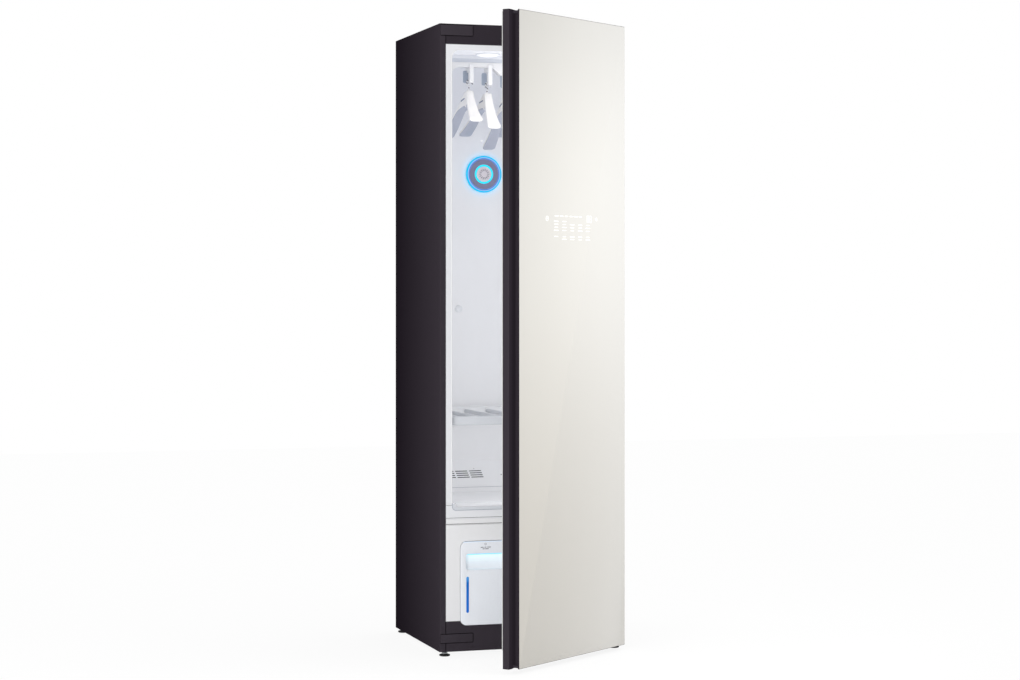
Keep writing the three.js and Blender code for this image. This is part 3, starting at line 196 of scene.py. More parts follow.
class Shader:
    """A node tree in the making."""

    def __init__(self, tree: bpy.types.NodeTree) -> None:
        """Keeps the tree."""
        self.tree = tree

    def node(self, kind: str, settings: dict | None = None, inputs: dict | None = None,
             output: str | int = 0) -> "Wire":
        """Adds a node.

        Args:
            kind: The node's type.
            settings: Its own settings, or a ramp's stops, set before anything is joined.
            inputs: Values and wires for its sockets, by name or place.
            output: The output that is wanted.

        Returns:
            The output as a wire.
        """
        made = self.tree.nodes.new(kind)
        for name, value in (settings or {}).items():
            if name == "stops":
                for index, (place, colour) in enumerate(value):
                    stops = made.color_ramp.elements
                    stop = stops[index] if index < 2 else stops.new(place)
                    stop.position, stop.color = place, colour
            else:
                setattr(made, name, value)
        for name, value in (inputs or {}).items():
            if isinstance(value, Wire):
                self.tree.links.new(value.socket, made.inputs[name])
            else:
                made.inputs[name].default_value = value
        return Wire(self, made.outputs[output])

    def feed(self, socket: str, value: object) -> None:
        """Sets or joins a socket of the surface shader.

        Args:
            socket: The socket's name.
            value: A value or a wire.
        """
        target = self.tree.nodes["Principled BSDF"].inputs[socket]
        if isinstance(value, Wire):
            self.tree.links.new(value.socket, target)
        else:
            target.default_value = value

    @cached_property
    def place(self) -> "Wire":
        """The surface's place in the row, in millimetres."""
        return self.node("ShaderNodeTexCoord", output="Object") * 1000.0

    @cached_property
    def axes(self) -> tuple["Wire", "Wire", "Wire"]:
        """The surface's place across, back and up."""
        outputs = self.node("ShaderNodeSeparateXYZ", inputs={0: self.place}).socket.node.outputs
        return Wire(self, outputs[0]), Wire(self, outputs[1]), Wire(self, outputs[2])

    def noise(self, size: float, detail: float = 2.0, place: "Wire | None" = None) -> "Wire":
        """Adds noise.

        Args:
            size: The size of its patches in millimetres.
            detail: How many finer layers it has.
            place: Where it is read, if not at the surface's own place.

        Returns:
            Values about 0.5.
        """
        inputs = {"Vector": place or self.place, "Scale": 1 / size, "Detail": detail}
        return self.node("ShaderNodeTexNoise", {}, inputs, "Fac")

    def blend(self, share: "Wire | float", first: object, second: object) -> "Wire":
        """Mixes two colours.

        Args:
            share: How much of the second there is.
            first: A colour or a wire.
            second: A colour or a wire.

        Returns:
            The mixed colour.
        """
        return self.node("ShaderNodeMix", {"data_type": "RGBA"}, {0: share, 6: first, 7: second}, 2)

    def ramp(self, share: "Wire", stops: Sequence[tuple[float, Colour]]) -> "Wire":
        """Turns a value from 0 to 1 into a colour.

        Args:
            share: The value.
            stops: Places and their colours as they are seen.

        Returns:
            The colour.
        """
        painted = [(place, linear(colour)) for place, colour in stops]
        return self.node("ShaderNodeValToRGB", {"stops": painted}, {0: share})

    def bump(self, height: "Wire", depth: float) -> "Wire":
        """Turns a height from 0 to 1 into a normal.

        Args:
            height: The height.
            depth: What 1 stands for, in millimetres.

        Returns:
            The normal.
        """
        return self.node("ShaderNodeBump", {}, {"Height": height, "Distance": depth / 1000, "Strength": 1.0})


class Wire:
    """A socket that can stand in a sum."""

    def __init__(self, shader: Shader, socket: bpy.types.NodeSocket) -> None:
        """Keeps the socket and its shader."""
        self.shader = shader
        self.socket = socket

    def join(self, operation: str, first: object, second: object) -> "Wire":
        """Adds the node of one operation.

        Args:
            operation: What is done with the two.
            first: A wire or a number.
            second: A wire or a number.

        Returns:
            The outcome, a colour or a vector where one of the two is.
        """
        kinds = {term.socket.type for term in (first, second) if isinstance(term, Wire)}
        if "RGBA" in kinds:
            terms = [t if isinstance(t, (Wire, tuple)) else (t, t, t, 1.0) for t in (first, second)]
            return self.shader.node("ShaderNodeMix", {"data_type": "RGBA", "blend_type": operation},
                                    {0: 1.0, 6: terms[0], 7: terms[1]}, 2)
        kind, terms = "ShaderNodeMath", [first, second]
        if "VECTOR" in kinds:
            kind = "ShaderNodeVectorMath"
            terms = [t if isinstance(t, (Wire, tuple, Vector)) else (t, t, t) for t in terms]
        return self.shader.node(kind, {"operation": operation}, {0: terms[0], 1: terms[1]})

    def __add__(self, other: object) -> "Wire":
        """Adds."""
        return self.join("ADD", self, other)

    def __radd__(self, other: object) -> "Wire":
        """Adds, from the right."""
        return self.join("ADD", other, self)

    def __sub__(self, other: object) -> "Wire":
        """Takes away."""
        return self.join("SUBTRACT", self, other)

    def __rsub__(self, other: object) -> "Wire":
        """Takes this away from something."""
        return self.join("SUBTRACT", other, self)

    def __mul__(self, other: object) -> "Wire":
        """Multiplies."""
        return self.join("MULTIPLY", self, other)

    def __rmul__(self, other: object) -> "Wire":
        """Multiplies, from the right."""
        return self.join("MULTIPLY", other, self)

    def __truediv__(self, other: object) -> "Wire":
        """Divides."""
        return self.join("DIVIDE", self, other)

    def __rtruediv__(self, other: object) -> "Wire":
        """Divides something by this."""
        return self.join("DIVIDE", other, self)

    def length(self) -> "Wire":
        """Gives a vector's length."""
        return self.shader.node("ShaderNodeVectorMath", {"operation": "LENGTH"}, {0: self}, "Value")

    def wave(self) -> "Wire":
        """Gives the sine of a value in radians."""
        return self.join("SINE", self, 0.0)

    def between(self, low: float, high: float) -> "Wire":
        """Maps a value smoothly to 0 at low and 1 at high.

        Args:
            low: What becomes 0.
            high: What becomes 1; it may be the lower of the two.

        Returns:
            The mapped value.
        """
        settings = {"interpolation_type": "SMOOTHSTEP", "clamp": True}
        if low < high:
            return self.shader.node("ShaderNodeMapRange", settings, {0: self, 1: low, 2: high})
        return 1.0 - self.shader.node("ShaderNodeMapRange", settings, {0: self, 1: high, 2: low})


def linear(colour: Colour, gain: float = 1.0) -> Light:
    """Turns a colour as it is seen into light.

    Args:
        colour: Red, green and blue from 0 to 255.
        gain: How much brighter it is made.

    Returns:
        The same colour for a shader's socket.
    """
    parts = [value / 255 for value in colour]
    light = [p / 12.92 if p <= 0.04045 else ((p + 0.055) / 1.055) ** 2.4 for p in parts]
    red, green, blue = (min(value * gain, 1.0) for value in light)
    return red, green, blue, 1.0


@dataclass(frozen=True)
class Finish:
    """A surface: its colour, its gloss and its fine relief.

    Sizes are in millimetres. tone is how much lighter and darker the colour clouds.
    """

    name: str
    slot: str
    colour: Colour
    roughness: float
    metallic: float = 0.0
    specular: float = 0.5
    coat: float = 0.0
    grain: float = 0.8
    relief: float = 0.01
    tone: float = 0.04

    def material(self) -> bpy.types.Material:
        """Gives the material, which is made the first time.

        Returns:
            The material of this finish.
        """
        found = bpy.data.materials.get(self.name)
        if found:
            return found
        made = bpy.data.materials.new(self.name)
        made.use_nodes = True
        made.diffuse_color = linear(self.colour)
        shader = Shader(made.node_tree)
        grain = self.height(shader)
        shader.feed("Metallic", self.metallic)
        shader.feed("Specular IOR Level", self.specular)
        shader.feed("Coat Weight", self.coat)
        shader.feed("Coat Roughness", 0.04)
        shader.feed("Base Color", self.tint(shader))
        shader.feed("Roughness", self.roughness + (grain - 0.5) * (0.3 * self.roughness))
        shader.feed("Normal", shader.bump(grain, self.relief))
        self.more(shader)
        return made

    def shades(self) -> tuple[Light, Light]:
        """Gives the darker and the lighter shade of the colour."""
        return linear(self.colour, 1 - self.tone), linear(self.colour, 1 + self.tone)

    def tint(self, shader: Shader) -> Wire:
        """Paints the colour with the shader that is given."""
        return shader.blend(shader.noise(70, 3), *self.shades())

    def height(self, shader: Shader) -> Wire:
        """Models the fine relief, from 0 to 1."""
        return shader.noise(self.grain, 3)

    def more(self, shader: Shader) -> None:
        """Adds what only some finishes have, such as light."""


@dataclass(frozen=True)
class Enamel(Finish):
    """Powder coat: a fine peel under a finer grain, with faint cloud and speckle."""

    peel: float = 5.0

    def tint(self, shader: Shader) -> Wire:
        """Paints the coat with faint cloud and fine speckle."""
        share = shader.noise(240, 3) * 0.7 + shader.noise(1.6, 2) * 0.3
        return shader.blend(share, *self.shades())

    def height(self, shader: Shader) -> Wire:
        """Models the peel and the grain."""
        return shader.noise(self.peel, 1) * 0.5 + shader.noise(self.grain, 2) * 0.5


@dataclass(frozen=True)
class FlankEnamel(Enamel):
    """Powder coat on the case's flanks, with painted shade that darkens it from the front edge to the rear."""

    # the colour at the rear edge, where the painted shade is darkest
    rear: Colour = (26, 21, 27)
    depth: float = 545.0

    def tint(self, shader: Shader) -> Wire:
        """Paints the shade that darkens it from front to rear, under the coat's cloud.

        Args:
            shader: The material's shader.

        Returns:
            The colour.
        """
        share = (shader.axes[1] - ORIGIN.y * 1000) / self.depth
        # painted shade: the enamel darkens from the front edge to the rear
        fall = shader.ramp(share, [(0.0, self.colour), (1.0, self.rear)])
        cloud = shader.noise(240, 3) * (2 * self.tone) + (1 - self.tone)
        return fall * shader.blend(cloud, NO_LIGHT, FULL_LIGHT)


@dataclass(frozen=True)
class DeepEnamel(Enamel):
    """Powder coat in a deep pocket, with the little light that many bounces bring there."""

    glow: Colour = (33, 29, 34)

    def more(self, shader: Shader) -> None:
        """Adds the bounced light.

        Args:
            shader: The material's shader.
        """
        shades = linear(self.glow, 0.95), linear(self.glow, 1.05)
        shader.feed("Emission Color", shader.blend(shader.noise(240, 2), *shades))
        shader.feed("Emission Strength", 1.0)


@dataclass(frozen=True)
class Moulding(Finish):
    """Injection moulding: very fine spark texture and faint flow marks along Z."""

    flow: float = 30.0

    def tint(self, shader: Shader) -> Wire:
        """Paints long faint flow marks."""
        drawn = shader.place * (1 / self.flow, 1 / self.flow, 0.25 / self.flow)
        return shader.blend(shader.noise(1.0, 3, drawn), *self.shades())


@dataclass(frozen=True)
class Lit(Moulding):
    """A moulding that gives off light: a lamp's own, or light painted on where something shines on it."""

    strength: float = 1.0

    def more(self, shader: Shader) -> None:
        """Adds the light."""
        shader.feed("Emission Color", self.light(shader))
        shader.feed("Emission Strength", self.strength)

    def light(self, shader: Shader) -> Wire:
        """Paints the light with the shader that is given."""
        return shader.blend(shader.noise(12, 2), *self.shades())


@dataclass(frozen=True)
class OutletLight(Lit):
    """Light in bands round the steam outlet's middle, painted by the distance from it.

    stops are distances in millimetres with their colours.
    """

    centre: Point3 = (0.0, 530.0, 1523.0)
    stops: Bands = ((0.0, (0, 0, 0)), (100.0, (0, 0, 0)))

    def light(self, shader: Shader) -> Wire:
        """Paints the bands.

        Args:
            shader: The material's shader.

        Returns:
            The light's colour.
        """
        middle = ORIGIN * 1000 + Vector(self.centre)
        spread = ((shader.place - middle) * (1.0, 0.0, 1.0)).length()
        last = self.stops[-1][0]
        return shader.ramp(spread / last, [(at / last, colour) for at, colour in self.stops])


@dataclass(frozen=True)
class CavityMoulding(OutletLight):
    """The cavity's wall, with painted light: a faint glow all over, and the outlet's light where it is close
    and faces it.

    upper and ceiling are the lamps' light on the upper walls and the ceiling, each with the heights
    between which it comes up.
    """

    upper: Colour = (34, 42, 58)
    upper_rise: Point2 = (1350.0, 1760.0)
    ceiling: Colour = (96, 96, 96)
    ceiling_rise: Point2 = (1889.0, 1891.5)

    def light(self, shader: Shader) -> Wire:
        """Paints a faint glow over the walls, the outlet's light on the back wall, the lamps' light up high,
        and none on the flange.

        Args:
            shader: The material's shader.

        Returns:
            The light's colour.
        """
        _, depth, up = shader.axes
        front = ORIGIN.y * 1000
        back = front + self.centre[1]
        wall = depth.between(back - 3.0, back - 1.0)
        # painted light: off the back wall the walls glow in the last band's grey
        low = shader.blend(wall, linear(self.stops[-1][1]), super().light(shader))
        high = shader.blend(up.between(*self.upper_rise), NO_LIGHT, linear(self.upper))
        roof = shader.blend(up.between(*self.ceiling_rise), NO_LIGHT, linear(self.ceiling))
        return shader.blend(depth.between(front + 1.5, front + 5.0), NO_LIGHT, low + high + roof)


@dataclass(frozen=True)
class LevelWindow(Lit):
    """A clear window with water behind it, painted from its foot to its head."""

    foot: float = 133.5
    head: float = 246.0
    low: Colour = (40, 100, 190)
    rim: Colour = (100, 180, 225)

    def light(self, shader: Shader) -> Wire:
        """Paints the water's blue, paler towards the head."""
        rise = shader.axes[2].between(self.foot, self.head)
        return shader.ramp(rise, [(0.0, self.low), (0.92, self.colour), (1.0, self.rim)])


@dataclass(frozen=True)
class FingerRecess(Lit):
    """The tank's recess, lit from a strip along its head."""

    foot: float = 266.0
    head: float = 316.0
    fade: Bands = ((0.0, (90, 90, 90)), (0.45, (116, 124, 126)), (0.82, (140, 156, 160)),
                   (1.0, (140, 176, 190)))

    def light(self, shader: Shader) -> Wire:
        """Paints the light as it fades from the head."""
        return shader.ramp(shader.axes[2].between(self.foot, self.head), self.fade)


@dataclass(frozen=True)
class Ribbed(Moulding):
    """A moulding with level ribs, one above the other."""

    pitch: float = 10.0

    def height(self, shader: Shader) -> Wire:
        """Models the ribs and a fine grain."""
        wave = (shader.axes[2] * (2 * math.pi / self.pitch)).wave()
        return (wave * 2.4 + 0.5).between(0.0, 1.0) * 0.85 + shader.noise(self.grain, 2) * 0.15


@dataclass(frozen=True)
class Galvanised(Finish):
    """Zinc coated sheet with its spangle."""

    spangle: float = 11.0

    def cells(self, shader: Shader) -> Wire:
        """Gives each crystal a grey of its own.

        Args:
            shader: The material's shader.

        Returns:
            The grey from 0 to 1.
        """
        inputs = {"Vector": shader.place, "Scale": 1 / self.spangle}
        crystal = shader.node("ShaderNodeTexVoronoi", {}, inputs, "Color")
        return shader.node("ShaderNodeSeparateXYZ", {}, {0: crystal})

    def tint(self, shader: Shader) -> Wire:
        """Paints the crystals."""
        return shader.blend(self.cells(shader), *self.shades())

    def height(self, shader: Shader) -> Wire:
        """Models the crystals and a fine grain."""
        return self.cells(shader) * 0.4 + shader.noise(self.grain, 2) * 0.6


@dataclass(frozen=True)
class Brushed(Finish):
    """Metal with drawn lines along one direction."""

    along: Point3 = (0.02, 1.0, 1.0)

    def height(self, shader: Shader) -> Wire:
        """Models the drawn lines."""
        return shader.noise(self.grain, 3, shader.place * self.along)

    def tint(self, shader: Shader) -> Wire:
        """Paints the lines' shades."""
        return shader.blend(shader.noise(2.5, 3, shader.place * self.along), *self.shades())


@dataclass(frozen=True)
class TwoTone(Brushed):
    """Drawn metal that is painted pale above a height."""

    above: Colour = (238, 240, 245)
    border: float = 1881.0

    def tint(self, shader: Shader) -> Wire:
        """Paints the pale upper band over the lines."""
        share = shader.axes[2].between(self.border - 0.5, self.border + 0.5)
        return shader.blend(share, super().tint(shader), linear(self.above))


@dataclass(frozen=True)
class TwistedWire(Brushed):
    """Two wires laid about each other, with painted reflection: bright along the wires, dark in the valleys."""

    lay: float = 11.0
    slant: float = 0.7
    # the painted dark reflection in the valleys
    valley: Colour = (66, 68, 84)

    def tint(self, shader: Shader) -> Wire:
        """Paints the dark reflection in the valleys as slanting bands.

        Args:
            shader: The material's shader.

        Returns:
            The colour.
        """
        across, _, up = shader.axes
        turn = ((up + across * self.slant) * (2 * math.pi / self.lay)).wave()
        return shader.blend(turn.between(0.35, 0.85), super().tint(shader), linear(self.valley))


@dataclass(frozen=True)
class Finned(Brushed):
    """Pressed fins that stand close together along X."""

    pitch: float = 2.2

    def height(self, shader: Shader) -> Wire:
        """Models the fins."""
        return (shader.axes[0] * (2 * math.pi / self.pitch)).wave() * 0.5 + 0.5


@dataclass(frozen=True)
class PaintedGlass(Finish):
    """Clear glass over warm white paint sprayed on its back, under painted light: lighter and cooler up and
    right.

    The painted light's factors multiply the paint at the left, at the right and at the head, and the two
    reaches are where they come in, across and up.
    """

    left_shade: Light = (0.955, 0.96, 0.965, 1.0)
    right_light: Light = (1.04, 1.05, 1.07, 1.0)
    head_light: Light = (1.0, 1.02, 1.05, 1.0)
    reach_across: Point2 = (-260.0, 380.0)
    reach_up: Point2 = (200.0, 1500.0)

    def height(self, shader: Shader) -> Wire:
        """Models the long roll waves of toughened glass."""
        return shader.noise(160, 1)

    def tint(self, shader: Shader) -> Wire:
        """Paints the sprayed coat with fine mica, under painted light that grows lighter up and to the right.

        Args:
            shader: The material's shader.

        Returns:
            The colour.
        """
        across, _, up = shader.axes
        mica = shader.noise(0.7, 1) * 0.6 + shader.noise(300, 2) * 0.4
        # painted light: darker at the left, lighter and cooler to the right and up
        sideways = (across - ORIGIN.x * 1000).between(*self.reach_across)
        light_fall = shader.blend(sideways, self.left_shade, self.right_light)
        return shader.blend(mica, *self.shades()) * light_fall * shader.blend(
            up.between(*self.reach_up), FULL_LIGHT, self.head_light)


@dataclass(frozen=True)
class CircuitBoard(Finish):
    """Green lacquer with copper runs."""

    second: Colour = (30, 74, 51)
    copper: Colour = (98, 120, 58)

    def tint(self, shader: Shader) -> Wire:
        """Paints the runs as level and upright lines.

        Args:
            shader: The material's shader.

        Returns:
            The colour.
        """
        inputs = {"Vector": shader.place, "Color1": linear(self.colour), "Color2": linear(self.second),
                  "Mortar": linear(self.copper), "Scale": 0.12, "Mortar Size": 0.03}
        return shader.node("ShaderNodeTexBrick", {}, inputs)


COAT = {"specular": 0.02, "relief": 0.02, "tone": 0.05}
SATIN = {"specular": 0.4, "tone": 0.02}
PLAIN = {"specular": 0.35, "tone": 0.02}
PRINTED = {"specular": 0.4, "grain": 0.5, "relief": 0.002}
# painted shade: this enamel darkens from the front edge to the rear, on the flanks and on the lid, hinges and
# top panel that wear it too
CASE = FlankEnamel("case_enamel", "case_steel", (50, 45, 51), 0.55, specular=0.0, relief=0.02, tone=0.05)
# painted light: a shade paler copy of the case enamel, for the front fold and plinth where they face forward
CASE_FRONT = Enamel("case_front_enamel", "case_steel", (55, 50, 56), 0.5, **COAT)
TOP_RAIL = Enamel("top_rail_enamel", "case_steel", (48, 43, 49), 0.5, **COAT)
CAP = Enamel("cap_enamel", "case_steel", (58, 53, 59), 0.5, **COAT)
GRIP = Enamel("grip_enamel", "grip_metal", (52, 47, 53), 0.42, specular=0.04, tone=0.05)
# painted shade: a darker copy of the grip enamel for the handle's front face, with a painted glow of bounced
# light
GRIP_SHADE = DeepEnamel("grip_painted_shade_enamel", "grip_metal", (25, 21, 26), 0.5, specular=0.0, tone=0.05)
POCKET = DeepEnamel("pocket_enamel", "case_steel", (44, 40, 45), 0.5, specular=0.02, tone=0.06)
# painted shadow: dark strips laid in the gaps round the blind caps, in the joints beside the flanks and in the
# louvres' openings
GAP_SHADOW = Finish("painted_gap_shadow", "case_steel", (14, 12, 15), 0.8, specular=0.0, grain=1.5, relief=0.02)
# painted shadow: grey lines laid over the seams between the front's parts
SEAM_SHADOW = Finish("painted_seam_shadow", "seal_rubber", (104, 103, 104), 0.7, specular=0.2, grain=1.5, relief=0.02)
SCREW = Brushed("screw_zinc", "sheet_steel", (150, 152, 154), 0.35, metallic=0.9, grain=0.5, relief=0.02)
SHEET = Galvanised("galvanised_sheet", "sheet_steel", (176, 179, 181), 0.42, metallic=0.75, relief=0.02,
                   tone=0.12)
# painted light: the cavity's walls glow faintly all over, and in bands round the outlet
CAVITY = CavityMoulding("cavity_moulding", "cavity_white", (224, 225, 228), 0.38, specular=0.35, relief=0.006,
                        tone=0.015, stops=(
                            (0.0, (88, 87, 86)), (60.0, (62, 112, 146)), (65.0, (68, 118, 150)),
                            (71.0, (80, 102, 118)), (84.0, (87, 90, 92)), (125.0, (88, 87, 86))))
PANEL = Moulding("front_panel_moulding", "flange_white", (228, 228, 229), 0.4, specular=0.35, relief=0.008,
                 tone=0.015)
WHITE = Moulding("satin_white_moulding", "cavity_white", (230, 232, 235), 0.36, **SATIN)
HANGER = Moulding("hanger_moulding", "cavity_white", (241, 239, 237), 0.34, **SATIN)
# painted shade: a greyer copy of the hanger's white for the faces that look down
HANGER_SHADE = Moulding("hanger_underside_shade", "cavity_white", (184, 188, 202), 0.4, **SATIN)
SHELF = Moulding("shelf_moulding", "cavity_white", (206, 209, 214), 0.4, **PLAIN)
# painted light: a paler copy of the shelf's white for the back rail, sides and sockets
SHELF_LIT = Moulding("shelf_back_painted_light", "cavity_white", (230, 231, 233), 0.4, **PLAIN)
RAIL = Moulding("rail_moulding", "cavity_white", (237, 237, 238), 0.4, **PLAIN)
# grey-blue for the filter screen and the strips in the hook holders; on the hangers' neck slots it is painted
# shade
SLATE = Moulding("slate_grey_and_slot_shade", "cavity_white", (136, 147, 168), 0.45, specular=0.4, tone=0.05)
SEAT_PLATE = Moulding("seat_plate", "cavity_white", (168, 178, 194), 0.45, specular=0.4, tone=0.05)
OUTLINE = Finish("mouth_outline", "cavity_white", (150, 156, 168), 0.6, specular=0.2, grain=1.0)
# painted shade: dark patches where the grille's slots are, and two dark specks
GRILLE_SHADE = Finish("painted_grille_slot_shade", "cavity_white", (26, 29, 36), 0.7, specular=0.1, grain=1.0, relief=0.02)
ANODISED = TwoTone("anodised_channel", "guide_metal", (216, 220, 228), 0.4, grain=0.4, tone=0.12)
CHROME = TwistedWire("polished_wire", "hook_chrome", (250, 250, 252), 0.2, metallic=0.2, grain=0.3,
                     relief=0.003, tone=0.06)
RODS = Enamel("rod_coat", "shelf_metal", (198, 201, 206), 0.35, specular=0.4, tone=0.06, peel=3.0)
RUBBER = Finish("foot_rubber_black", "foot_rubber", (36, 35, 36), 0.72, specular=0.3, grain=0.6, relief=0.04,
                tone=0.15)
SEAL = Finish("door_seal_soft", "seal_rubber", (206, 206, 204), 0.6, specular=0.3, grain=0.9, relief=0.02,
              tone=0.03)
PRESS = Ribbed("press_ribbed_moulding", "press_white", (222, 222, 220), 0.5, specular=0.35, relief=0.9,
               tone=0.02)
FLAP = Moulding("press_flap_moulding", "cavity_white", (225, 227, 230), 0.45, **PLAIN)
GLASS = PaintedGlass("back_painted_glass", "door_glass", (188, 184, 176), 0.1, coat=0.6, relief=0.02,
                     tone=0.012)
GLASS_EDGE = Enamel("glass_edge_trim", "door_glass", (42, 37, 43), 0.45, specular=0.02, tone=0.05)
PRINT = Finish("panel_print", "door_glass", (240, 239, 236), 0.35, tone=0.02, **PRINTED)
TANK = Moulding("tank_moulding", "tank_white", (232, 235, 240), 0.28, specular=0.45, coat=0.2, relief=0.006,
                tone=0.02)
TANK_LIGHT = FingerRecess("lit_finger_recess", "tank_white", (224, 230, 236), 0.4, strength=0.8)
# painted highlight: the pale glowing line along each tank's head
TANK_HIGHLIGHT = Lit("painted_edge_highlight", "light_cyan", (206, 222, 240), 0.3, strength=0.2)
TANK_MARK = Finish("tank_print", "tank_white", (112, 112, 118), 0.4, **PRINTED)
RECESS_LINE = Lit("recess_edge_line", "light_cyan", (120, 206, 240), 0.3, strength=0.5)
WINDOW = LevelWindow("level_window", "light_cyan", (8, 84, 160), 0.4, specular=0.15, strength=0.5)
LAMP = Lit("lamp_diffuser", "light_white", (240, 242, 246), 0.3, strength=0.45)
OUTER = OutletLight("outer_ring_light", "light_cyan", (4, 40, 70), 0.5, specular=0.1, stops=(
    (0.0, (30, 90, 150)), (50.0, (205, 190, 200)), (51.2, (50, 120, 215)), (53.0, (50, 125, 220)),
    (54.3, (160, 190, 235)), (56.0, (155, 200, 240)), (57.6, (0, 180, 245)), (61.5, (0, 212, 250))))
INNER = OutletLight("inner_ring_light", "light_cyan", (0, 110, 130), 0.3, stops=(
    (0.0, (0, 200, 225)), (25.5, (60, 215, 235)), (28.0, (0, 225, 250)), (30.5, (10, 225, 250)),
    (33.0, (90, 200, 225))))
# painted light: the grey dish glows in bands with the rings' light
DISH = OutletLight("outlet_dish_painted_glow", "outlet_grey", (118, 120, 146), 0.4, specular=0.3, strength=0.3,
                   stops=((0.0, (60, 90, 140)), (31.0, (120, 150, 190)), (32.6, (165, 152, 160)),
                          (34.2, (110, 108, 130)), (48.4, (100, 98, 122)), (51.0, (90, 100, 120)),
                          (62.0, (40, 90, 140))))
HUB = Moulding("outlet_hub_moulding", "cavity_white", (224, 218, 224), 0.35, specular=0.4, relief=0.008,
               tone=0.02)
# painted shade: dark patches where the hub's slots are
HUB_SLOT_SHADE = Finish("outlet_slot_painted_shade", "outlet_grey", (72, 74, 92), 0.6, specular=0.2, grain=1.0)
DARK = Moulding("dark_machine_moulding", "machine_plastic", (84, 86, 90), 0.5, relief=0.02, tone=0.08)
MACHINE = Enamel("machine_enamel", "machine_grey", (52, 54, 57), 0.45, specular=0.3, relief=0.03, tone=0.1)
COIL = Finned("pressed_fins", "coil_metal", (186, 190, 194), 0.35, metallic=0.85, relief=0.6, tone=0.08)
HOSE = Finish("hose_silicone", "hose_rubber", (40, 40, 41), 0.5, specular=0.35, grain=0.9, relief=0.02,
              tone=0.1)
BOARD = CircuitBoard("circuit_lacquer", "board", (39, 88, 62), 0.4, grain=1.2, relief=0.05)


def add_object(name: str, data: bpy.types.ID) -> bpy.types.Object:
    """Puts a mesh, a lamp or a camera in the scene.

    Args:
        name: The object's name.
        data: What it shows.

    Returns:
        The new object.
    """
    made = bpy.data.objects.new(name, data)
    bpy.context.scene.collection.objects.link(made)
    return made


